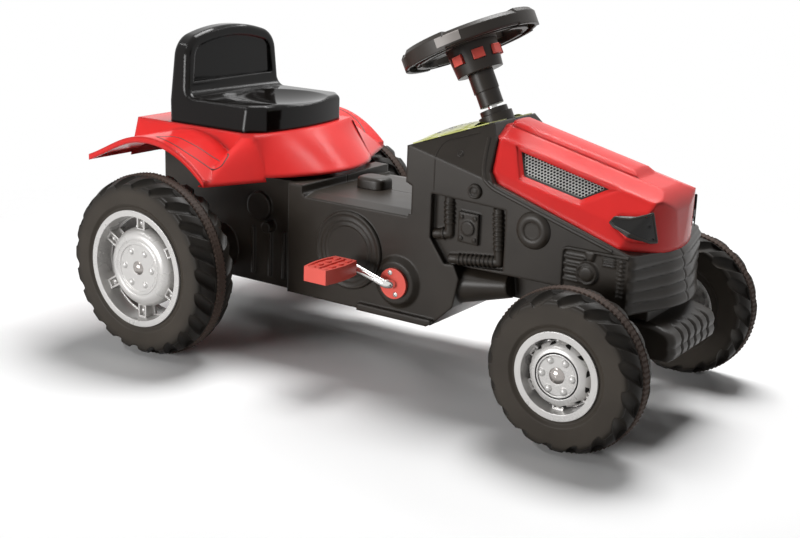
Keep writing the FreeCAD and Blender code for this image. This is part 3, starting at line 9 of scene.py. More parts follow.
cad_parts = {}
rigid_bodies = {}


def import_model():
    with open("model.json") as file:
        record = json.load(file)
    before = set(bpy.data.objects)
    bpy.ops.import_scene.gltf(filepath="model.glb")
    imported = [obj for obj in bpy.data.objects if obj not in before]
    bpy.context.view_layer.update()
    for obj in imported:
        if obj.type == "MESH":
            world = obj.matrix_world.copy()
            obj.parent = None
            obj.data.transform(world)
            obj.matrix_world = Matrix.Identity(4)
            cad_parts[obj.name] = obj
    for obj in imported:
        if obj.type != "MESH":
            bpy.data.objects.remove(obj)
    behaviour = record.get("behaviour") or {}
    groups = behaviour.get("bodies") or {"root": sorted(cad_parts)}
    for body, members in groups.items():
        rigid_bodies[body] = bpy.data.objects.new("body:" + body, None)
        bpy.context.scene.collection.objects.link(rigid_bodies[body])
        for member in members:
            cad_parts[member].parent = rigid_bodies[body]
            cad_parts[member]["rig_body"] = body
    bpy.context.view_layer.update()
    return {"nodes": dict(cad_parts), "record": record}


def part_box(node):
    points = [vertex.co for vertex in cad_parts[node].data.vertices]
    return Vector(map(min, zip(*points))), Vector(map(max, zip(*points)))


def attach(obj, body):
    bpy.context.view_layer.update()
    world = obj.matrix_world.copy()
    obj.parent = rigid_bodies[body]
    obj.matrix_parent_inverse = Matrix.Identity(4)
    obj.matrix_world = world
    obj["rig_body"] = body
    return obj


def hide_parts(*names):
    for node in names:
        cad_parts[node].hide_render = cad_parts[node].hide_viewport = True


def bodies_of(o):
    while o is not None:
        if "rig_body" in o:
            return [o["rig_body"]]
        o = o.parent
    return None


# %% [markdown]
# This lesson dresses a pedal tractor for a small child. The solids come ready made from the CAD part, with
# every wheel, pedal and key in its own piece. What is left for Blender is the finish of each moulding, the
# small trim that is too fine for the solids, and a studio to look at it in.

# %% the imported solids
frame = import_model()
nodes = frame["nodes"]
slot_of = {row["node"]: row["material_slot"] for row in frame["record"]["subparts"]}
body_of = {name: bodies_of(node)[0] for name, node in nodes.items()}
print("nodes", len(nodes), "slots", len(set(slot_of.values())))

# %% [markdown]
# The camera stands in front of the tractor on its right, a little above the seat. Its place and turn were
# solved from the four wheel rims and the likeness of left and right. A camera could be aimed with a Track To
# constraint, but a matrix from three axes also takes the slight roll of the picture.

# %% camera
camera_spot = Vector((0.9176, -1.4269, 0.5961))
camera_turn = math.radians(33.57)
camera_height = math.radians(15.74)
camera_roll = math.radians(2.06)
sensor_width = 36.0
focal_share = 1302.95 / 800

camera_back = Vector((math.sin(camera_turn) * math.cos(camera_height),
                      -math.cos(camera_turn) * math.cos(camera_height), math.sin(camera_height)))
level_right = Vector((math.cos(camera_turn), math.sin(camera_turn), 0))
level_up = camera_back.cross(level_right)
camera_right = level_right * math.cos(camera_roll) + level_up * math.sin(camera_roll)
camera_up = level_up * math.cos(camera_roll) - level_right * math.sin(camera_roll)

camera_data = bpy.data.cameras.new("camera")
camera_data.sensor_width = sensor_width
camera_data.lens = focal_share * sensor_width
camera = bpy.data.objects.new("camera", camera_data)
camera.matrix_world = Matrix.Translation(camera_spot) @ Matrix(
    (camera_right, camera_up, camera_back)).transposed().to_4x4()
bpy.context.scene.collection.objects.link(camera)
bpy.context.scene.camera = camera
print("lens", round(camera_data.lens, 2), "mm")

# %% [markdown]
# Shader maths reads best as plain sums. Nodes could be placed and linked one by one, but then a sum of three
# terms fills a page. This small class wraps a socket, and its operators add the Math nodes. Any other node
# comes from its one method called node.


# %% the socket class
class Field:
    """A shader socket that can stand in a Python expression."""

    def __init__(self, tree, socket=None):
        self.tree = tree
        self.socket = socket

    def node(self, kind, settings=None, sockets=None, out=0):
        made = self.tree.nodes.new("ShaderNode" + kind)
        for name, value in (settings or {}).items():
            if name == "stops":
                ramp = made.color_ramp.elements
                while len(ramp) < len(value):
                    ramp.new(0.5)
                for element, (place, colour) in zip(ramp, value):
                    element.position = place
                    element.color = (*colour, 1)
            else:
                setattr(made, name, value)
        for name, value in (sockets or {}).items():
            if isinstance(value, Field):
                self.tree.links.new(value.socket, made.inputs[name])
            else:
                made.inputs[name].default_value = value
        return Field(self.tree, made.outputs[out])

    def maths(self, operation, *terms):
        return self.node("Math", {"operation": operation}, dict(enumerate(terms)))

    def __add__(self, other):
        return self.maths("ADD", self, other)

    def __sub__(self, other):
        return self.maths("SUBTRACT", self, other)

    def __rsub__(self, other):
        return self.maths("SUBTRACT", other, self)

    def __mul__(self, other):
        return self.maths("MULTIPLY", self, other)

    def __truediv__(self, other):
        return self.maths("DIVIDE", self, other)

    def __pow__(self, other):
        return self.maths("POWER", self, other)

    def __lt__(self, other):
        return self.maths("LESS_THAN", self, other)

    def __gt__(self, other):
        return self.maths("GREATER_THAN", self, other)

    def __abs__(self):
        return self.maths("ABSOLUTE", self)

    __radd__ = __add__
    __rmul__ = __mul__

    def ease(self, low, high):
        """Rises smoothly from 0 at low to 1 at high."""
        return self.node("MapRange", {"interpolation_type": "SMOOTHSTEP"},
                         {"Value": self, "From Min": low, "From Max": high})

    def between(self, first, second):
        """A colour that goes from first to second as this value goes from 0 to 1."""
        ends = {0: self, 6: as_colour(first), 7: as_colour(second)}
        return self.node("Mix", {"data_type": "RGBA"}, ends, out=2)

    def part_of_turn(self):
        """What is left of this value after its whole turns."""
        return self.maths("FRACT", self)

    def at_most(self, limit):
        return self.maths("MINIMUM", self, limit)

    def axes(self):
        """The x, y and z of a place."""
        parts = self.node("SeparateXYZ", {}, {0: self}).socket.node.outputs
        return [Field(self.tree, part) for part in parts]


def as_colour(value):
    return value if isinstance(value, Field) else (*value, 1)


def new_finish(name, fixed):
    """A material with its fixed numbers set on the shader's own sockets."""
    made = bpy.data.materials.new(name)
    made.use_nodes = True
    shader = made.node_tree.nodes["Principled BSDF"]
    for socket, value in fixed.items():
        shader.inputs[socket].default_value = value
    return made, shader, Field(made.node_tree)


def feed(shader, socket, field):
    field.tree.links.new(field.socket, shader.inputs[socket])


def feed_normal(shader, height, edge, strength, distance, samples=6):
    """Rounds the light on edges and adds a fine relief on top."""
    rounded = height.node("Bevel", {"samples": samples}, {"Radius": edge})
    relief = {"Strength": strength, "Distance": distance, "Height": height, "Normal": rounded}
    feed(shader, "Normal", height.node("Bump", {}, relief))


def shaded(colour, share):
    return tuple(part * share for part in colour)


print("socket class", Field.__name__)

# %% [markdown]
# The studio is a pale floor, a large soft lamp overhead, a second one low on the camera's left, and two
# narrow strips whose reflections draw the bright lines on the gloss. A backdrop could be a curved sheet.
# Here the floor fades out instead, and the white world behind it does the rest, so there is no horizon.

# %% studio
floor_half = 6.0
fade_from = 0.55
fade_to = 1.25
lamps = {
    "overhead": ((-0.1, 0.75, 2.15), (0.0, 0.0, 0.1), (1.2, 0.9), 57.0),
    "shoulder": ((-1.0, -2.7, 0.50), (0.0, 0.0, 0.25), (1.3, 0.8), 58.0),
    "long_strip": ((-1.3, -1.5, 1.9), (0.0, 0.0, 0.3), (1.8, 0.07), 8.0),
    "back_strip": ((0.3, 1.7, 1.7), (0.0, 0.0, 0.3), (1.8, 0.10), 6.0),
}

world = bpy.data.worlds.new("world")
bpy.context.scene.world = world
world.use_nodes = True
sky = Field(world.node_tree)
sees_white = sum((sky.node("LightPath", out=kind) for kind in ("Is Glossy Ray", "Is Transmission Ray")),
                 sky.node("LightPath", out="Is Camera Ray"))
world_light = 0.03
background = world.node_tree.nodes["Background"]
background.inputs["Color"].default_value = (1, 1, 1, 1)
strength = sees_white.at_most(1.0) * (1 - world_light) + world_light
world.node_tree.links.new(strength.socket, background.inputs["Strength"])

for name, (spot, aim, size, power) in lamps.items():
    lamp = bpy.data.lights.new(name, "AREA")
    lamp.shape = "RECTANGLE"
    lamp.size, lamp.size_y = size
    lamp.energy = power
    holder = bpy.data.objects.new(name, lamp)
    facing = (Vector(aim) - Vector(spot)).to_track_quat("-Z", "Y")
    holder.matrix_world = Matrix.Translation(spot) @ facing.to_matrix().to_4x4()
    bpy.context.scene.collection.objects.link(holder)

floor_mesh = bpy.data.meshes.new("floor")
floor_mesh.from_pydata([(-floor_half, -floor_half, 0), (floor_half, -floor_half, 0),
                        (floor_half, floor_half, 0), (-floor_half, floor_half, 0)], [], [(0, 1, 2, 3)])
floor = bpy.data.objects.new("floor", floor_mesh)
bpy.context.scene.collection.objects.link(floor)
pale, pale_shader, start = new_finish("pale floor", {"Roughness": 0.9, "Specular IOR Level": 0.0})
spot = start.node("TexCoord", out="Object")
distance = start.node("VectorMath", {"operation": "LENGTH"}, {0: spot}, out="Value")
feed(pale_shader, "Alpha", 1 - distance.ease(fade_from, fade_to))
patches = start.node("TexNoise", {}, {"Vector": spot, "Scale": 3.0})
feed(pale_shader, "Base Color", patches.between((0.955, 0.955, 0.955), (0.975, 0.975, 0.975)))
floor.data.materials.append(pale)
bpy.context.scene.view_settings.view_transform = "Standard"
print("lamps", len(lamps))

# %% [markdown]
# Most pieces are moulded plastic. One maker covers them all: a base colour that drifts a little, as pigment
# does, a roughness that drifts with it, a fine grain from the mould, and a Bevel node that rounds the light
# on edges which a real mould never leaves sharp. A flat colour would look like paper.


# %% moulded plastics
wheel_axles = [(sum(end.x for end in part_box(tyre)) / 2, sum(end.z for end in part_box(tyre)) / 2)
               for tyre in ("tyre_front_right", "tyre_rear_right")]
lens_edge_x = 0.3192
lens_edge_z = 0.2470
lens_edge_fall = 0.475
pigment_scale = 16.0
grain_scale = 900.0
grain_depth = 0.0002


def moulded(name, colour, rough, edge=0.0015, grain=0.15, shine=0.25, drift=0.10, second=None):
    made, shader, start = new_finish(name, {"IOR": 1.5, "Specular IOR Level": shine})
    spot = start.node("TexCoord", out="Object")
    cloud = start.node("TexNoise", {}, {"Vector": spot, "Scale": pigment_scale, "Detail": 3.0})
    speck = start.node("TexNoise", {}, {"Vector": spot, "Scale": grain_scale, "Detail": 2.0})
    mixed = cloud.ease(0.3, 0.7).between(shaded(colour, 1 - drift), shaded(colour, 1 + drift))
    if second:
        place, other = second
        mixed = place(spot).between(mixed, other)
    feed(shader, "Base Color", mixed)
    feed(shader, "Roughness", rough + (cloud - 0.5) * 0.14 + (speck - 0.5) * 0.05)
    feed_normal(shader, speck, edge, grain, grain_depth)
    return made


def on_tread(spot):
    """1 on a tyre's tread, where shade is painted, 0 on its side wall, by the distance from the wheel's axle.
    """
    x, _, z = spot.axes()
    reach = 1.0
    for axle, radius in wheel_axles:
        share = (((x - axle) ** 2 + (z - radius) ** 2) ** 0.5) / radius
        reach = share.at_most(reach)
    return reach.ease(0.80, 0.93)


def under_lens(spot):
    """1 on the corner of the headlight solid that belongs to the red hood."""
    x, _, z = spot.axes()
    return z < lens_edge_z - (x - lens_edge_x) * lens_edge_fall


hood_red = (0.78, 0.030, 0.028)
lens_black = (0.010, 0.009, 0.008)
# Painted shade: the tread is the same plastic as the side wall, drawn darker.
tread_painted_shade = (0.013, 0.011, 0.009)
finishes = {
    "black_shell": moulded("black shell", (0.024, 0.019, 0.0145), 0.33, edge=0.0042, grain=0.25, shine=0.22),
    "black_part": moulded("black part", (0.023, 0.0185, 0.0145), 0.36, edge=0.0012, grain=0.25),
    "red_shell": moulded("red shell", hood_red, 0.20, edge=0.0080, grain=0.05, shine=0.15, drift=0.04),
    "red_trim": moulded("red trim", (0.74, 0.105, 0.080), 0.30, edge=0.0012, grain=0.10, drift=0.05),
    "seat": moulded("seat", (0.006, 0.005, 0.0045), 0.08, edge=0.0050, grain=0.02, shine=0.17),
    "steering_grip": moulded("steering grip", (0.026, 0.021, 0.017), 0.42, edge=0.0020, grain=0.30),
    "grille_backing": moulded("grille backing", (0.008, 0.008, 0.008), 0.60, edge=0.0008),
    "grille_mesh": moulded("grille sheet", (0.60, 0.60, 0.58), 0.32, edge=0.0003, grain=0.05),
    "lamp": moulded("headlight", lens_black, 0.20, edge=0.0090, grain=0.02, shine=0.24,
                    second=(under_lens, hood_red)),
    # The tyre's tread gets painted shade through on_tread.
    "tyre": moulded("tyre", (0.042, 0.035, 0.028), 0.44, edge=0.0022, grain=0.35, shine=0.13,
                    second=(on_tread, tread_painted_shade)),
    "tread_band": moulded("tread band", (0.050, 0.034, 0.027), 0.62, edge=0.0005, grain=0.5, shine=0.15,
                          drift=0.2),
    "lens": moulded("lens", lens_black, 0.20, edge=0.0060, grain=0.02, shine=0.26),
    "pale_patch": moulded("pale patch", (0.36, 0.33, 0.31), 0.40, edge=0.0004, grain=0.05),
    # Painted shade for the openings of the front rims.
    "rim_shade": moulded("rim shade", (0.012, 0.011, 0.010), 0.70, edge=0.0004, shine=0.1),
}
print("moulded finishes", len(finishes))

# %% [markdown]
# The rims are a silver-grey moulding: pigment with fine flakes, so it is neither plain grey nor true metal.
# A little Metallic that follows a cell pattern gives the sparkle. The caps, the crank and the axles are of
# plated or rolled steel, where the drawing marks run along the rod, so their noise is stretched.


# %% silver and steel
def silvered(name, colour, rough, metal, edge, flake=1400.0):
    made, shader, start = new_finish(name, {"IOR": 1.5})
    spot = start.node("TexCoord", out="Object")
    cells = start.node("TexVoronoi", {}, {"Vector": spot, "Scale": flake}, out="Color")
    shine = cells.node("SeparateColor", {}, {0: cells})
    cloud = start.node("TexNoise", {}, {"Vector": spot, "Scale": 22.0, "Detail": 3.0})
    feed(shader, "Base Color", cloud.between(shaded(colour, 0.93), shaded(colour, 1.05)))
    feed(shader, "Metallic", metal + (shine - 0.5) * 0.25)
    feed(shader, "Roughness", rough + (cloud - 0.5) * 0.10)
    feed_normal(shader, shine, edge, 0.08, 0.0001)
    return made


def drawn_steel(name, colour, rough, stretch):
    made, shader, start = new_finish(name, {"Specular IOR Level": 0.5})
    spot = start.node("TexCoord", out="Object")
    along = start.node("Mapping", {}, {"Vector": spot, "Scale": stretch})
    lines = start.node("TexNoise", {}, {"Vector": along, "Scale": 60.0, "Detail": 4.0})
    feed(shader, "Base Color", lines.between(shaded(colour, 0.85), colour))
    feed(shader, "Metallic", 0.96 + lines * 0.04)
    feed(shader, "Roughness", rough + lines * 0.10)
    feed_normal(shader, lines, 0.0008, 0.06, 0.0001, samples=4)
    return made


finishes["rim"] = silvered("rim silver", (0.55, 0.537, 0.522), 0.28, 0.32, 0.0014)
finishes["bright_cap"] = drawn_steel("bright cap", (0.42, 0.39, 0.37), 0.08, (1.0, 1.0, 1.0))
finishes["steel"] = drawn_steel("rolled steel", (0.58, 0.57, 0.55), 0.24, (4.0, 0.2, 4.0))
finishes["bright_steel"] = drawn_steel("plated rod", (0.78, 0.77, 0.75), 0.07, (1.0, 1.0, 1.0))
print("finishes so far", len(finishes))

# %% [markdown]
# The dash is a printed sheet stuck on the slope behind the steering column. Its print could be an image, but
# sums of the sheet's own coordinates draw the same round dials and bars at any size. The sheet lies on a
# 20 degree slope, so the coordinate along it is a turned x and z.

# %% dash print
dash_slope = math.radians(20)
dash_low, dash_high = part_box("dash_panel")
dash_green = (0.66, 0.68, 0.22)
dash_ink = (0.05, 0.05, 0.03)
dash_cream = (0.95, 0.95, 0.66)
dial_spots = ((0.024, 0.050, 0.017), (0.024, -0.050, 0.017), (0.020, 0.0, 0.014))
dial_ticks = 24
bars_per_metre = 60.0

made, shader, start = new_finish("dash print", {"IOR": 1.5, "Coat Weight": 0.3, "Coat Roughness": 0.1})
spot = start.node("TexCoord", out="Object")
x, y, z = spot.axes()
along = (x - dash_low.x) * math.cos(dash_slope) + (z - dash_low.z) * math.sin(dash_slope)
bars = (abs(y) * bars_per_metre).part_of_turn().ease(0.90, 0.94)
print_colour = bars.between(dash_green, dash_cream)
for dial_along, dial_across, dial_radius in dial_spots:
    reach = ((along - dial_along) ** 2 + (y - dial_across) ** 2) ** 0.5
    face = reach < dial_radius
    ring = abs(reach - dial_radius * 0.82) < dial_radius * 0.10
    turn = start.maths("ARCTAN2", along - dial_along, y - dial_across)
    ticks = (turn * (dial_ticks / (2 * math.pi))).part_of_turn() < 0.30
    inked = ring + ticks * (reach > dial_radius * 0.55) * face
    print_colour = face.between(print_colour, dash_cream)
    print_colour = inked.at_most(1.0).between(print_colour, dash_ink)
grain = start.node("TexNoise", {}, {"Vector": spot, "Scale": 400.0})
feed(shader, "Base Color", print_colour)
feed(shader, "Roughness", 0.30 + grain * 0.12)
finishes["dash"] = made
print("dash sheet", [round(size, 3) for size in dash_high - dash_low])

# %% [markdown]
# Each CAD node now takes the finish of its own slot, and keeps its exact shape and place. Materials could be
# set by hand one by one, but the part's record already names a slot for every node, so a loop does it.

# %% dressing the solids
for name, node in nodes.items():
    node.data.materials.clear()
    node.data.materials.append(finishes[slot_of[name]])
print("dressed", len(nodes), "nodes")


# %% [markdown]
# Small trim is made from grids of points: rows of points swept round make closed rings, and open rows make
# sheets. Primitives could be joined instead, but a grid follows the curved mouldings. One helper turns rows
# into a mesh that rides on a body, and a ray shot at a solid finds the surface that a piece lies on.

# %% mesh helpers
frame_shift = 19.5
far_out = 200.0
bead_round = 0.7
bead_sink = 0.0003
surfaces = {}


def at(x, y, z):
    """A point in metres from millimetres counted from midway between the axles."""
    return Vector(((x + frame_shift) / 1000, y / 1000, z / 1000))


def piece_of(name, points, faces, finish, body, sharp=40):
    mesh = bpy.data.meshes.new(name)
    mesh.from_pydata([tuple(point) for point in points], [], faces)
    mesh.update()
    mesh.shade_smooth()
    mesh.set_sharp_from_angle(angle=math.radians(sharp))
    mesh.materials.append(finishes[finish])
    piece = bpy.data.objects.new(name, mesh)
    bpy.context.scene.collection.objects.link(piece)
    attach(piece, body)
    return piece


def swept(name, rows, finish, body, close_rows=True, closed=True, cap=False, sharp=40):
    """A mesh from rows of points. Rows are rings when closed, and close_rows joins the last to the first."""
    rows = np.asarray(rows, float)
    count, length = rows.shape[:2]
    faces = []
    for row in range(count if close_rows else count - 1):
        here, ahead = row * length, (row + 1) % count * length
        for col in range(length if closed else length - 1):
            beside = (col + 1) % length
            faces.append((here + col, here + beside, ahead + beside, ahead + col))
    if cap:
        faces.append(tuple(reversed(range(length))))
        faces.append(tuple(range((count - 1) * length, count * length)))
    return piece_of(name, rows.reshape(-1, 3), faces, finish, body, sharp)


def on_surface(node, start, direction):
    """The point of a solid that a ray meets first, and the normal there."""
    if node not in surfaces:
        mesh = nodes[node].data
        corners = [vertex.co for vertex in mesh.vertices]
        surfaces[node] = BVHTree.FromPolygons(corners, [face.vertices[:] for face in mesh.polygons])
    return surfaces[node].ray_cast(Vector(start), Vector(direction))[:2]


def on_side(node, side, x, z):
    """Where a level ray from beside the tractor meets a solid."""
    return on_surface(node, at(x, side * far_out, z), (0, -side, 0))


def full_turn(steps):
    return np.arange(steps) / steps * 2 * math.pi


def turned(name, spot, normal, profile, finish, body, steps=48):
    """A turned piece: profile lists radius and height in millimetres, about a normal at a spot."""
    across = normal.orthogonal().normalized()
    upward = normal.cross(across)
    turn = full_turn(steps)
    circle = np.outer(np.cos(turn), across) + np.outer(np.sin(turn), upward)
    rows = [np.array(spot) + circle * radius / 1000 + np.array(normal) * height / 1000
            for radius, height in profile]
    return swept(name, rows, finish, body, close_rows=False, sharp=35)


def smooth_path(points, step):
    """Points about one step apart along a curve through the given ones."""
    points = [Vector(point) for point in points]
    line = []
    for before, start, end, after in zip(points[:1] + points, points, points[1:], points[2:] + points[-1:]):
        count = max(2, round((end - start).length / step))
        bend = 2 * before - 5 * start + 4 * end - after
        twist = 3 * start - before - 3 * end + after
        for t in np.arange(count) / count:
            line.append(0.5 * (2 * start + (end - before) * t + bend * t ** 2 + twist * t ** 3))
    return line + [points[-1]]


def even_line(points, count):
    """Evenly spaced flat points along straight runs."""
    points = np.array(points)
    length = np.concatenate([[0], np.cumsum(np.linalg.norm(np.diff(points, axis=0), axis=1))])
    even = np.linspace(0, length[-1], count)
    return np.stack([np.interp(even, length, points[:, 0]), np.interp(even, length, points[:, 1])], 1)


def bead(name, line, normals, half_width, height, finish, body, loop=False):
    """A rounded bead along a line that lies on a surface."""
    turn = np.linspace(0, math.pi, 7)
    rows = []
    for place, (spot, normal) in enumerate(zip(line, normals)):
        ahead = line[(place + 1) % len(line)] if loop or place + 1 < len(line) else spot
        behind = line[place - 1] if loop or place else spot
        along = (ahead - behind).normalized()
        across = along.cross(normal).normalized()
        rows.append([spot + across * half_width * math.cos(angle)
                     + normal * (height * math.sin(angle) ** bead_round - bead_sink) for angle in turn])
    return swept(name, rows, finish, body, close_rows=loop, closed=False, sharp=60)


def ramp(value, low, high):
    share = np.clip((value - low) / (high - low), 0, 1)
    return share * share * (3 - 2 * share)


sides = {"right": -1, "left": 1}
print("helpers ready")

# %% [markdown]
# A strip of brown rubber runs round the middle of each hollow tyre, so that the toy doesn't rattle. Its edges
# are cut in fine teeth and its face is a shallow zigzag. The teeth could be a bump, but they show on the
# outline of the wheel, so the ring of points moves in and out tooth by tooth.

# %% tread bands
tooth_depth = 0.0016
tooth_pitch = 0.0062
tooth_rise = 0.6
steps_per_tooth = 4
groove_depth = 0.0009
band_thickness = 0.0049
band_shoulder = 0.0012


def toothed_band(node):
    low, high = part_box(node)
    centre = (low + high) / 2
    outer = (high.z - low.z) / 2
    half = (high.y - low.y) / 2
    inner = outer - band_thickness
    groove = outer - groove_depth
    teeth = round(2 * math.pi * outer / tooth_pitch)
    turn = full_turn(teeth * steps_per_tooth)
    wave = np.abs((turn * teeth / (2 * math.pi)) % 1 - 0.5) * 2
    left_half = [(outer, 0.30, 1.0), (groove, 0.60, -1.0), (outer, 0.86, 1.0),
                 (outer - band_shoulder, 1, 1.0), (inner, 1, 0.0)]
    right_half = [(radius, -across, tooth) for radius, across, tooth in reversed(left_half)]
    rows = []
    for radius, across, tooth in right_half + [(groove, 0.0, -1.0)] + left_half:
        pull = (wave if tooth > 0 else 1 - wave) * tooth_depth * abs(tooth)
        rise = radius - pull * tooth_rise
        shift = half * across - np.sign(across) * pull * (abs(across) > 0.8)
        ring = [centre.x + rise * np.sin(turn), centre.y + shift, centre.z + rise * np.cos(turn)]
        rows.append(np.stack(ring, 1))
    band = swept(node + "_toothed", rows, "tread_band", body_of[node], sharp=25)
    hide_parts(node)
    return teeth


print("band teeth", [toothed_band(name) for name in sorted(nodes) if name.startswith("tread_band")])

# %% [markdown]
# The front rims have narrow openings round the dome, and the hollow tyre behind them is in shade. The solid is
# cut through there in a thin slit. A wider cut would change the solid, so thin sheets of painted shade lie on
# the dome beside the slit, placed by rays shot along the axle. A row whose rays pass through the slit is left
# out.

# %% rim openings
opening_count = 6
opening_turn = math.radians(21)
opening_reach = 0.715
opening_half = 0.042
opening_tip = 0.002
opening_lift = 0.0004
opening_rows = 15
opening_columns = 5
axle_ray = 0.4


def rim_openings(node):
    low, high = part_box(node)
    centre = (low + high) / 2
    radius = (high.z - low.z) / 2
    side = math.copysign(1, centre.y)
    for count in range(opening_count):
        middle = (count + 0.5) * 2 * math.pi / opening_count
        rows = []
        for turn in np.linspace(-1, 1, opening_rows) * side:
            half = opening_half * (1 - turn ** 2) ** 0.6 + opening_tip
            angle = middle + turn * opening_turn
            hits = []
            for share in np.linspace(-1, 1, opening_columns):
                reach = radius * (opening_reach + half * share)
                x, z = centre.x + reach * math.sin(angle), centre.z + reach * math.cos(angle)
                hits.append(on_surface(node, (x, side * axle_ray, z), (0, -side, 0))[0])
            if None not in hits:
                rows.append([found + Vector((0, side * opening_lift, 0)) for found in hits])
        # Each sheet is painted shade for the dark hollow seen through an opening.
        swept(f"{node}_opening_{count + 1}", rows, "rim_shade", body_of[node], close_rows=False, closed=False)
    return opening_count


print("rim openings", [rim_openings("rim_front_" + side_name) for side_name in sorted(sides)])

# %% [markdown]
# Below the hood the nose is a bellows: soft ribs that run round the front in one curve, with the seam of the
# two body halves down the middle. Stacked discs would leave hard steps. Here each row of points follows a
# half ellipse that takes in the corners of the body. It swells and shrinks with height to make round ribs.

# %% nose bellows
nose_centre_x = 286.0
nose_start_x = 327.0
nose_half_width = 101.0
nose_low = 149.0
nose_reach_low = 361.2
nose_lean = 0.20
corner_spot = (324.4, 94.4)
corner_round = 8.0
rib_pitch = 13.5
rib_bulge = 3.4
seam_half = 1.0
seam_depth = 1.2
nose_steps = 120
nose_levels = 70
nose_top_x = 345.0
nose_top_gap = 0.6
nose_tuck = 5.0
hood_reach = 62.0
hood_half_width = 105.0
hood_base_x = 146.0
hood_base_z = 276.3
hood_base_fall = 0.31
shoulder_shares = (0.10, 0.4, 1.0)


def hull_of(points):
    """The corners of the smallest bulging outline round flat points."""
    points = sorted({(round(float(x), 5), round(float(y), 5)) for x, y in points})
    chains = []
    for order in (points, points[::-1]):
        chain = []
        for point in order:
            while len(chain) > 1:
                run = np.subtract(chain[-1], chain[-2])
                turn = np.subtract(point, chain[-1])
                if run[0] * turn[1] - run[1] * turn[0] > 0:
                    break
                chain.pop()
            chain.append(point)
        chains.append(chain[:-1])
    return np.array(chains[0] + chains[1])


def hood_base(x):
    """The height of the hood's lower edge."""
    return hood_base_z - hood_base_fall * (x - hood_base_x)


def nose_outline(reach):
    """Even points along the front, from the right flank to the left one."""
    turn = np.linspace(-math.pi / 2, math.pi / 2, 181)
    depth = reach - nose_centre_x
    front = [(nose_centre_x + depth * math.cos(a), nose_half_width * math.sin(a)) for a in turn]
    corner_x, corner_y = corner_spot
    around = np.linspace(0, 2 * math.pi, 60)
    for side in (-1, 1):
        front += [(corner_x + corner_round * math.cos(a), side * corner_y + corner_round * math.sin(a))
                  for a in around]
        front.append((nose_start_x, side * (nose_half_width + 0.2)))
    hull = hull_of(front)
    hull = hull[hull[:, 0] > nose_start_x - 0.01]
    hull = hull[np.argsort(np.arctan2(hull[:, 1], hull[:, 0] - nose_start_x + 1))]
    return even_line(hull, nose_steps + 1)


def nose_rows():
    rows = []
    for share in np.linspace(0, 1, nose_levels):
        middle_z = nose_low + share * (hood_base(nose_top_x) - nose_low)
        outline = nose_outline(nose_reach_low - nose_lean * (middle_z - nose_low))
        ahead = np.gradient(outline, axis=0)
        ahead /= np.linalg.norm(ahead, axis=1, keepdims=True)
        outward = np.stack([ahead[:, 1], -ahead[:, 0]], 1)
        top = hood_base(outline[:, 0]) - nose_top_gap
        z = nose_low + share * (top - nose_low)
        swell = np.abs(np.sin(math.pi * (z - nose_low) / rib_pitch)) ** 0.5 * rib_bulge
        swell *= ramp(outward[:, 0], 0.10, 0.60) * ramp(-share, -1.0, -0.90)
        swell -= seam_depth * np.clip(1 - np.abs(outline[:, 1]) / seam_half, 0, 1)
        swell -= nose_tuck * ramp(-share, -0.03, 0.0)
        moved = outline + outward * swell[:, None]
        rows.append([at(x, y, height) for (x, y), height in zip(moved, z)])
    turn = np.arctan2(outline[:, 1] / hood_half_width, (outline[:, 0] - nose_centre_x) / hood_reach)
    hidden_x = nose_centre_x + hood_reach * 0.96 * np.cos(turn)
    hidden = np.stack([hidden_x, hood_half_width * 0.95 * np.sin(turn)], 1)
    for share in shoulder_shares:
        moved = outline + (hidden - outline) * share
        rows.append([at(x, y, hood_base(x) + 0.2) for x, y in moved])
    return rows


bellows = swept("nose_bellows", nose_rows(), "black_shell", body_of["body_half_right"], close_rows=False,
                closed=False, sharp=60)
print("bellows points", len(bellows.data.vertices))

# %% [markdown]
# The weight block under the nose is one hollow moulding in the shape of a row of slab weights. Boxes side by
# side would look too sharp. Rings of points run round the row from back to front, with a dip at every gap
# between two slabs and one at the seam, so each slab is a small cushion.

# %% weight block
block_half = 68.0
block_back = 322.0
block_front = 378.0
block_low = 91.0
block_middle_z = 112.0
block_round = 9.0
slab_span = 58
slab_gaps = np.array([-40.0, -20.0, 0.0, 20.0, 40.0])
gap_half = 3.2
gap_depth = 5.5
block_outline = [(block_back, block_low), (356.0, block_low), (371.0, block_low + 1.5),
                 (376.5, block_low + 6), (block_front, 104.0), (block_front - 1.6, 109.0),
                 (block_front - 2.2, 110.0), (block_front - 1.6, 111.0), (block_front - 1.0, 117.0),
                 (374.5, 123.5), (370.0, 127.5), (364.0, 129.8), (357.0, 132.5), (345.0, 135.0),
                 (336.0, 136.5), (block_back, 137.0)]


def block_rows():
    outline = np.array(block_outline)
    middle = np.array([block_back, block_middle_z])
    front_share = ramp(outline[:, 0], 365.0, 373.0)
    rows = []
    quarter = np.linspace(0, math.pi / 2, 6)
    ends = [block_half - block_round + block_round * math.sin(turn) for turn in quarter]
    across = np.concatenate([[-end for end in reversed(ends)], np.arange(-slab_span, slab_span + 1), ends])
    for y in across:
        over = max(0, abs(y) - block_half + block_round)
        shrink = block_round - math.sqrt(max(0, block_round ** 2 - over ** 2))
        gap = np.max(np.clip(1 - (np.abs(slab_gaps - y) / gap_half) ** 2, 0, 1)) * gap_depth
        pull = shrink + gap * front_share
        inward = middle - outline
        inward = inward / np.maximum(np.linalg.norm(inward, axis=1, keepdims=True), 1e-6)
        moved = outline + inward * pull[:, None]
        moved[:, 0] = np.maximum(moved[:, 0], block_back)
        rows.append([at(x, y, z) for x, z in moved])
    return rows


block = swept("weight_slabs", block_rows(), "black_part", body_of["front_weight_block"], close_rows=False,
              cap=True, sharp=50)
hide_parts("front_weight_block")
print("weight slabs", len(slab_gaps) + 1)

# %% [markdown]
# The engine side carries a shallow relief of a motor: a framed panel with cooling bars, a fan cover, a funnel,
# a comb and a small ladder. It could be carved with many small solids. A sheet of points under a millimetre
# apart, lifted by simple heights, gives the soft moulded look, and the same sheet serves both sides.

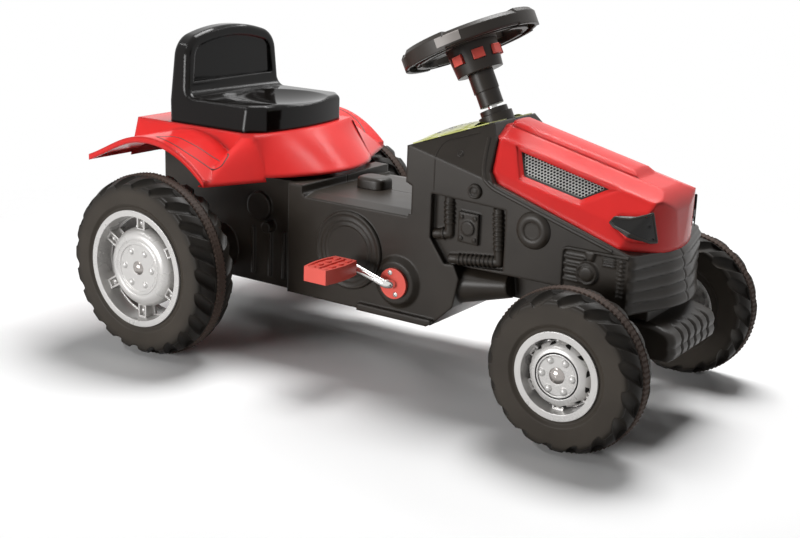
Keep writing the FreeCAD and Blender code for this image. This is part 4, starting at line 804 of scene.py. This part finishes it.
# %% engine relief
panel_plane = 100.0
panel_left, panel_right = 243.0, 328.0
panel_low, panel_top = 158.0, 219.0
panel_corner = 8.0
panel_step = 0.75
frame_lift = 3.0
bar_spots = (180.0, 189.0, 198.0, 207.0)
bar_from, bar_to = 249.0, 275.0
bar_half = 2.4
bar_lift = 3.6
fan_spot = (277.5, 190.5)
fan_radius = 14.0
fan_lift = 3.8
fan_dome = 1.8
fan_groove = 1.9
funnel_x = 280.0
funnel_low, funnel_top = 205.5, 217.0
funnel_lift = 3.6
comb_pitch = 3.6
comb_lift = 3.2
rung_pitch = 5.2
rung_lift = 3.0
post_lift = 2.4


def plateau(x, z, x0, x1, z0, z1, wall=1.3):
    """1 on a rectangle and 0 outside it, with a sloping wall."""
    return ramp(np.minimum(np.minimum(x - x0, x1 - x), np.minimum(z - z0, z1 - z)), 0, wall)


def engine_height(x, z):
    edge = np.minimum(x - panel_left, panel_top - z)
    in_corner = (x < panel_left + panel_corner) & (z > panel_top - panel_corner)
    round_edge = panel_corner - np.hypot(x - panel_left - panel_corner, z - panel_top + panel_corner)
    edge = np.where(in_corner, round_edge, edge)
    height = 0.5 * ramp(edge, 0, 1) + frame_lift * ramp(edge, 0, 1.3) * (1 - ramp(edge, 2.6, 4.0))
    for bar_z in bar_spots:
        bar = plateau(x, z, bar_from, bar_to, bar_z - bar_half, bar_z + bar_half)
        height = np.maximum(height, bar_lift * bar)
    reach = np.hypot(x - fan_spot[0], z - fan_spot[1]) / fan_radius
    fan = fan_lift * ramp(-reach, -1.0, -0.90) + fan_dome * np.sqrt(np.clip(1 - reach ** 2, 0, 1))
    fan -= fan_groove * (ramp(reach, 0.58, 0.66) - ramp(reach, 0.74, 0.82))
    height = np.where(reach < 1.0, np.maximum(fan, height), height)
    funnel_half = 4.2 + 3.2 * (z - 206) / 11
    funnel_edge = np.minimum(funnel_half - np.abs(x - funnel_x), np.minimum(z - funnel_low, funnel_top - z))
    height = np.maximum(height, funnel_lift * ramp(funnel_edge, 0, 1.2))
    comb = ramp(np.abs((z - 204) / comb_pitch % 1 - 0.5), 0.12, 0.32)
    height = np.maximum(height, comb_lift * comb * plateau(x, z, 295.0, 312.5, 203.0, 215.0))
    rungs = ramp(np.abs((z - 170) / rung_pitch % 1 - 0.5), 0.10, 0.30)
    height = np.maximum(height, rung_lift * rungs * plateau(x, z, 314.5, 323.5, 168.0, 216.0))
    height = np.maximum(height, post_lift * plateau(x, z, 317.3, 320.7, 166.0, 216.5))
    return height - 0.4 * (edge <= 0)


def engine_sheet(name, side):
    xs = np.arange(panel_left - 1, panel_right + 0.1, panel_step)
    zs = np.arange(panel_low, panel_top + 1.1, panel_step)
    grid_x, grid_z = np.meshgrid(xs if side < 0 else xs[::-1], zs)
    lift = engine_height(grid_x, grid_z)
    rows = [[at(x, side * (panel_plane + height), z) for x, z, height in zip(*line)]
            for line in zip(grid_x, grid_z, lift)]
    swept(name, rows, "black_shell", body_of["body_half_right"], close_rows=False, closed=False, sharp=60)


for side_name, side in sides.items():
    engine_sheet("engine_relief_" + side_name, side)
print("engine relief", len(sides))

# %% [markdown]
# Round bosses stand on the sides: a fat ring, a bolt in a ring, a small dimple, and the rings of the gear
# case behind the pedal. Cylinders could be stacked, but their edges would be hard. Each boss is turned from a
# short profile, like a lathe part. A ray that meets plain wall beside it finds the normal to set it along.

# %% bosses
fat_ring = [(9.8, -1), (9.8, 2.8), (10.4, 4.4), (11.8, 5.1), (14.5, 5.4), (17.5, 5.0), (20.0, 3.8),
            (22.0, 1.8), (23.2, -0.5)]
bolt_ring = [(0.2, 3.7), (2.8, 3.7), (3.3, 3.3), (3.5, 2.7), (5.4, 2.7), (5.6, 3.9), (6.4, 4.6), (7.6, 4.6),
             (8.8, 3.4), (9.6, 0.8), (9.8, -0.4)]
dimple_ring = [(0.2, 0.5), (2.2, 0.5), (2.5, 0.1), (2.8, 0.6), (3.6, 0.9), (4.4, 0.5), (4.8, -0.3)]
bosses = {
    "fat_boss": ((204.0, 229.0), (0.0, -26.0), fat_ring),
    "bolt_boss": ((122.0, 264.0), (-12.0, 0.0), bolt_ring),
    "dimple": ((92.0, 304.0), (-12.0, 0.0), dimple_ring),
}
gear_spot = (-63.0, 158.0)
gear_radius = 51.0
gear_rings = [(0.60, 3.3), (0.64, 3.9), (0.66, 4.7), (0.69, 4.7), (0.71, 3.3), (0.76, 3.2), (0.78, 4.3),
              (0.81, 4.3), (0.83, 3.2), (0.92, 3.2), (0.94, 4.5), (0.99, 4.3), (1.015, 2.5), (1.02, -0.3)]
gear_profile = [(share * gear_radius, height) for share, height in gear_rings]

for side_name, side in sides.items():
    half = "body_half_" + side_name
    for label, ((x, z), (beside_x, beside_z), profile) in bosses.items():
        found, normal = on_side(half, side, x + beside_x, z + beside_z)
        base = at(x, 0.0, z)
        shift = Vector((base.x - found.x, 0, base.z - found.z))
        base.y = found.y - shift.dot(normal) / normal.y
        turned(label + "_" + side_name, base, normal, profile, "black_shell", body_of[half])
for side_name, side in sides.items():
    base = at(gear_spot[0], side * panel_plane, gear_spot[1])
    turned("gear_rings_" + side_name, base, Vector((0, side, 0)), gear_profile, "black_shell",
           body_of["body_half_" + side_name], steps=96)
print("bosses", (len(bosses) + 1) * len(sides))

# %% [markdown]
# A rounded lip follows the lower edge of the hood, where the black body meets it. It hides the joint, as the
# rolled edge of a blow moulding does. A curve with a bevel would do, but rows of points stay a plain mesh.

# %% hood lip
lip_line = [(117.7, 328.0), (122.0, 311.0), (127.8, 294.0), (134.0, 284.5), (144.4, 276.0), (163.0, 269.5),
            (183.5, 263.2), (240.0, 245.8), (306.0, 225.5)]
lip_drop = 4.0
lip_width = 0.0026
lip_height = 0.0020


def side_bead(label, points, step, drop, half_width, height):
    """A bead on both sides of the body, along points given as x and z."""
    path = smooth_path([(x, z - drop, 0.0) for x, z in points], step)
    for side_name, side in sides.items():
        half = "body_half_" + side_name
        hits = [on_side(half, side, x, z) for x, z, _ in path]
        hits = [hit for hit in hits if hit[0] is not None and abs(hit[1].y) > 0.5]
        line, normals = zip(*(hits if side < 0 else hits[::-1]))
        bead(label + "_" + side_name, line, normals, half_width, height, "black_shell", body_of[half])
    return len(line)


print("lip points", side_bead("hood_lip", lip_line, 5.0, lip_drop, lip_width, lip_height))

# %% [markdown]
# The tower side has a thin raised line with a round corner, where the panel of the real moulding steps up. A
# groove could be cut in the solid. The same bead serves, laid on the sloping side by rays.

# %% tower line
tower_line = [(63.0, 256.0), (63.0, 285.0), (63.2, 306.0), (66.0, 314.0), (72.0, 318.0), (86.0, 322.5),
              (104.0, 328.5)]
tower_line_half = 0.0010
tower_line_height = 0.0009
print("tower line points", side_bead("tower_line", tower_line, 4.0, 0.0, tower_line_half, tower_line_height))

# %% [markdown]
# The printed dash sheet of the real toy is bowed: it stands up a little along the middle, so its print shows
# over the edge of the tower. A modifier could bend the solid. Here the flat solid stays, and a bowed sheet of
# points above it carries the same print.

# %% bowed dash sheet
bow_height = 0.0085
bow_lift = 0.0005
bow_from, bow_to = 0.02, 0.80
bow_rows = 38
bow_columns = 62
edge_tries = np.arange(0.093, 0.030, -0.001)
dash_ray = 0.6
column_clear = 0.0225
column_near = 0.055
column_spot = at(104.0, 0.0, 336.0)
bow_points = []
for share in np.linspace(bow_from, bow_to, bow_rows):
    x = dash_low.x + share * (dash_high.x - dash_low.x)
    tries = ((y, on_surface("dash_panel", (x, y, dash_ray), (0, 0, -1))[0]) for y in edge_tries)
    edge, found = next((y, spot) for y, spot in tries if spot is not None)
    lift = bow_height * float(ramp(share, 0.0, 0.2))
    for across in np.linspace(0.99, -0.99, bow_columns):
        near = math.hypot(x - column_spot.x, edge * across)
        bow = lift * (1 - across ** 2) ** 0.8 * float(ramp(near, column_clear, column_near))
        bow_points.append(Vector((x, edge * across, found.z + bow_lift + bow)))
kept = []
for row in range(bow_rows - 1):
    for col in range(bow_columns - 1):
        here, ahead = row * bow_columns + col, (row + 1) * bow_columns + col
        face = (here, ahead, ahead + 1, here + 1)
        if min((bow_points[corner].xy - column_spot.xy).length for corner in face) > column_clear:
            kept.append(face)
piece_of("dash_bow", bow_points, kept, "dash", body_of["dash_panel"])
print("bowed sheet faces", len(kept))

# %% [markdown]
# The side windows of the hood are filled with a plated sheet full of round holes, in a black frame. The holes
# of the real sheet leave only thin bridges. A picture with see-through holes could stand in, but real holes
# throw real shadows on the backing: each six-sided cell is a ring of faces round its own hole.

# %% grille sheets
hole_pitch = 0.0043
hole_radius = 0.00172
sheet_depth = 0.0009
cell_steps = 12
grille_edge = 0.0011
grille_round = 0.004
grille_frame_half = 0.0016
grille_frame_height = 0.0016


def plane_of(node, outward):
    """The outer plane of a flat solid: a point on it, its axes, its normal and the outline points in it."""
    points = np.array([vertex.co for vertex in nodes[node].data.vertices])
    centre = points.mean(0)
    spread = np.linalg.svd(points - centre, full_matrices=False)[2]
    normal = spread[2] * np.sign(spread[2] @ outward)
    along = spread[0] * np.sign(spread[0][0])
    across = np.cross(normal, along)
    flat = np.stack([(points - centre) @ along, (points - centre) @ across], 1)
    lift = ((points - centre) @ normal).max()
    return centre + normal * lift, along, across, normal, flat


def depth_inside(hull, point):
    """How far a flat point lies inside an outline."""
    ahead = np.roll(hull, -1, 0) - hull
    normals = np.stack([-ahead[:, 1], ahead[:, 0]], 1) / np.linalg.norm(ahead, axis=1, keepdims=True)
    return ((np.asarray(point) - hull) * normals).sum(1).min()


def smooth_loop(hull, radius):
    """The outline with every corner rounded."""
    line = []
    for before, corner, after in zip(np.roll(hull, 1, 0), hull, np.roll(hull, -1, 0)):
        if np.linalg.norm(corner - before) < radius:
            continue
        start = corner + (before - corner) / np.linalg.norm(before - corner) * radius
        end = corner + (after - corner) / np.linalg.norm(after - corner) * radius
        for t in np.linspace(0, 1, 6):
            line.append(start * (1 - t) ** 2 + corner * 2 * t * (1 - t) + end * t ** 2)
    return line


def grille_sheet(side_name, side):
    node = "grille_mesh_" + side_name
    centre, along, across, normal, flat = plane_of(node, np.array([0.0, side, 0.3]))
    hull = hull_of(flat)
    turn = full_turn(cell_steps)
    circle = np.stack([np.cos(turn), np.sin(turn)], 1)
    corner = hole_pitch / math.sqrt(3)
    outer = circle * np.where(np.arange(cell_steps) % 2, corner, hole_pitch / 2)[:, None]
    inner = circle * hole_radius
    points, faces = [], []
    low, high = hull.min(0), hull.max(0)
    for row, v in enumerate(np.arange(low[1], high[1], hole_pitch * math.sqrt(3) / 2)):
        for u in np.arange(low[0] - (row % 2) * hole_pitch / 2, high[0], hole_pitch):
            if depth_inside(hull, (u, v)) < grille_edge:
                continue
            base = len(points)
            for ring, down in ((outer, 0.0), (inner, 0.0), (inner, sheet_depth)):
                points += [centre + along * (u + a) + across * (v + b) - normal * down for a, b in ring]
            for step in range(cell_steps):
                ahead = (step + 1) % cell_steps
                for here in (base, base + cell_steps):
                    below = here + cell_steps
                    faces.append((here + step, here + ahead, below + ahead, below + step))
    sheet = piece_of("grille_sheet_" + side_name, points, faces, "grille_mesh", body_of[node], sharp=30)
    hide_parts(node)
    line = [Vector(centre + along * u + across * v) for u, v in smooth_loop(hull, grille_round)]
    bead("grille_frame_" + side_name, line, [Vector(normal)] * len(line), grille_frame_half,
         grille_frame_height, "black_part", body_of[node], loop=True)
    return len(points) // (3 * cell_steps)


print("grille holes", [grille_sheet(side_name, side) for side_name, side in sides.items()])

# %% [markdown]
# The headlights are dark lenses that wrap round the corner of the hood, with a hollow upper edge. The solid
# under them is a plain plate, and a cut through it would leave a sharp rim. A bent sheet of points between an
# upper and a lower line gives the true outline, and a thin frame runs round it.

# %% headlight lenses
lens_upper = [(294.4, 252.0), (297.1, 257.4), (306.0, 257.0), (315.2, 257.4), (324.1, 260.4), (335.7, 264.6)]
lens_lower = [(294.4, 251.6), (299.7, 247.8), (310.0, 244.8), (321.0, 241.5), (335.5, 230.8), (339.5, 230.0)]
lens_columns = 34
lens_levels = 18
lens_lift = 0.0016
lens_corner_lift = 0.0014
lens_corner_from, lens_corner_to = 0.345, 0.353
lens_frame_half = 0.0016
lens_frame_height = 0.0012


def outermost(names, side, x, z):
    """Of the points where a level ray meets the named solids, the one that lies furthest out."""
    hits = [on_side(name, side, x, z) for name in names]
    return max((hit for hit in hits if hit[0] is not None), key=lambda hit: side * hit[0].y)


def border(rows):
    """The edge of a sheet of rows, once round."""
    return (list(rows[0]) + [row[-1] for row in rows[1:-1]] + list(rows[-1][::-1])
            + [row[0] for row in rows[-2:0:-1]])


for side_name, side in sides.items():
    upper = even_line(lens_upper, lens_columns)[::-side]
    lower = even_line(lens_lower, lens_columns)[::-side]
    solids = ("headlight_" + side_name, "hood")
    outward = Vector((0.45, side * 0.89, 0.05))
    rows, normal_rows = [], []
    for share in np.linspace(0, 1, lens_levels):
        hits = [outermost(solids, side, x, z) for x, z in lower + (upper - lower) * share]
        lifts = [lens_lift + lens_corner_lift * float(ramp(spot.x, lens_corner_from, lens_corner_to))
                 for spot, _ in hits]
        rows.append([spot + outward * lift for (spot, _), lift in zip(hits, lifts)])
        normal_rows.append([normal for _, normal in hits])
    body = body_of["headlight_" + side_name]
    swept("lens_" + side_name, rows, "lens", body, close_rows=False, closed=False, sharp=75)
    bead("lens_frame_" + side_name, border(rows), border(normal_rows), lens_frame_half, lens_frame_height,
         "black_part", body, loop=True)
print("lens points", lens_levels * lens_columns)

# %% [markdown]
# A thin dark line runs round a plain field on each fender. It could be drawn in the red finish by sums of
# coordinates, but a low bead has a true edge in every view. Rays shot from above lay it on the moulding.

# %% fender signs
sign_outline = [(-317.0, 190.0), (-289.5, 191.0), (-259.5, 187.0), (-228.0, 170.0), (-227.0, 156.0),
                (-232.6, 143.6), (-251.0, 155.0), (-281.0, 163.5), (-304.0, 168.0)]
sign_step = 5.0
ray_height = 420.0
sign_half = 0.0011
sign_height = 0.0007
for side_name, side in sides.items():
    corners = [(x, side * y, 0.0) for x, y in sign_outline]
    path = smooth_path(corners + corners[:1], sign_step)[:-1]
    hits = [on_surface("fender_seat_base", at(x, y, ray_height), (0, 0, -1)) for x, y, _ in path]
    line, normals = zip(*hits)
    bead("fender_sign_" + side_name, line, normals, sign_half, sign_height, "black_part",
         body_of["fender_seat_base"], loop=True)
print("sign points", len(line))

# %% [markdown]
# Screw heads hold the red bearing plates. A cross could be cut from a dome with two boxes. Here each head is
# a small dome of points whose height dips where the cross for the driver is. A ray finds the plate under it.

# %% screws
screw_radius = 0.0034
screw_height = 0.0013
screw_sink = 0.0006
screw_rings = (1.0, 0.99, 0.93, 0.80, 0.66, 0.62, 0.58, 0.45, 0.30, 0.18, 0.02)
cross_half = 0.16
cross_reach = 0.62
cross_depth = 0.8


def screw(name, spot, normal, body):
    turn = full_turn(40)
    across = normal.orthogonal().normalized()
    upward = normal.cross(across)
    rows = []
    for share in screw_rings:
        u = share * np.cos(turn)
        v = share * np.sin(turn)
        height = screw_height * np.sqrt(np.clip(1.02 - share ** 2, 0, 1))
        in_cross = ((np.abs(u) < cross_half) | (np.abs(v) < cross_half)) & (share < cross_reach)
        height = np.where(in_cross, height - cross_depth * screw_height, height)
        height -= screw_sink if share == 1.0 else 0.0
        level = screw_radius * (np.outer(u, across) + np.outer(v, upward))
        rows.append(np.array(spot) + level + np.outer(height, normal))
    return swept(name, rows, "steel", body, close_rows=False, sharp=30)


crank_spot = (15.0, 130.0)
plate_screw_reach = 14.5
plate_screw_turns = (108, 288)
for side_name, side in sides.items():
    plate = "bearing_plate_" + side_name
    for count, degrees in enumerate(plate_screw_turns):
        turn = math.radians(degrees)
        x = crank_spot[0] + plate_screw_reach * math.cos(turn)
        z = crank_spot[1] + plate_screw_reach * math.sin(turn)
        found, normal = on_side(plate, side, x, z)
        screw(f"plate_screw_{side_name}_{count + 1}", found, normal, body_of[plate])
print("plate screws", len(plate_screw_turns) * len(sides))

# %% [markdown]
# A pale patch sits on the outer edge of the steering ring. A flat plate would stand off the round ring,
# so it is a thin bent sheet: rays shot at the ring's axis find every point.

# %% steering patch
ring_centre = at(44.0, 0.0, 430.0)
ring_tilt = math.radians(26)
ring_axis = Vector((-math.sin(ring_tilt), 0, math.cos(ring_tilt)))
ring_level = Vector((math.cos(ring_tilt), 0, math.sin(ring_tilt)))
patch_from, patch_to = 274.0, 295.0
patch_half = 0.0058
patch_lift = 0.0004
patch_ray = 0.15
rows = []
for degrees in np.linspace(patch_from, patch_to, 18):
    turn = math.radians(degrees)
    outward = ring_level * math.cos(turn) + Vector((0, 1, 0)) * math.sin(turn)
    row = []
    for axial in np.linspace(-patch_half, patch_half, 9):
        start = ring_centre + ring_axis * axial + outward * patch_ray
        found, _ = on_surface("steering_wheel", start, -outward)
        row.append(found + outward * patch_lift)
    rows.append(row)
swept("steering_patch", rows, "pale_patch", body_of["steering_wheel"], close_rows=False, closed=False)
print("patch points", len(rows) * len(rows[0]))

# %% [markdown]
# Between the rider's feet a small cover sits on the bridge. A box with a bevel would look too hard. It is a
# soft cushion, so its rings of points are squared ellipses that draw in over a rounded shoulder.

# %% bridge cover
cover_low, cover_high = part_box("bridge_cover")
cover_centre = (cover_low + cover_high) / 2
cover_half = (cover_high - cover_low) / 2
cover_wall = 0.010
cover_shoulder = 0.005
cover_rise = cover_wall + cover_shoulder
cover_square = 0.55
turn = full_turn(72)
level_x = np.sign(np.cos(turn)) * np.abs(np.cos(turn)) ** cover_square
level_y = np.sign(np.sin(turn)) * np.abs(np.sin(turn)) ** cover_square
cover_steps = [(0.0, 0.0)]
for bend in np.linspace(0, math.pi / 2, 6):
    cover_steps.append((cover_wall + cover_shoulder * math.sin(bend), cover_shoulder * (1 - math.cos(bend))))
cover_steps += [(cover_rise, 0.010), (cover_rise, 0.0178)]
rows = []
for rise, inset in cover_steps:
    height = cover_low.z + rise * (cover_high.z - cover_low.z) / cover_rise
    ring = [cover_centre.x + (cover_half.x - inset) * level_x,
            cover_centre.y + (cover_half.y - inset) * level_y, np.full_like(turn, height)]
    rows.append(np.stack(ring, 1))
cover = swept("bridge_cushion", rows, "black_part", body_of["bridge_cover"], close_rows=False, cap=True)
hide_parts("bridge_cover")
print("cover", [round(size, 4) for size in cover_half * 2])
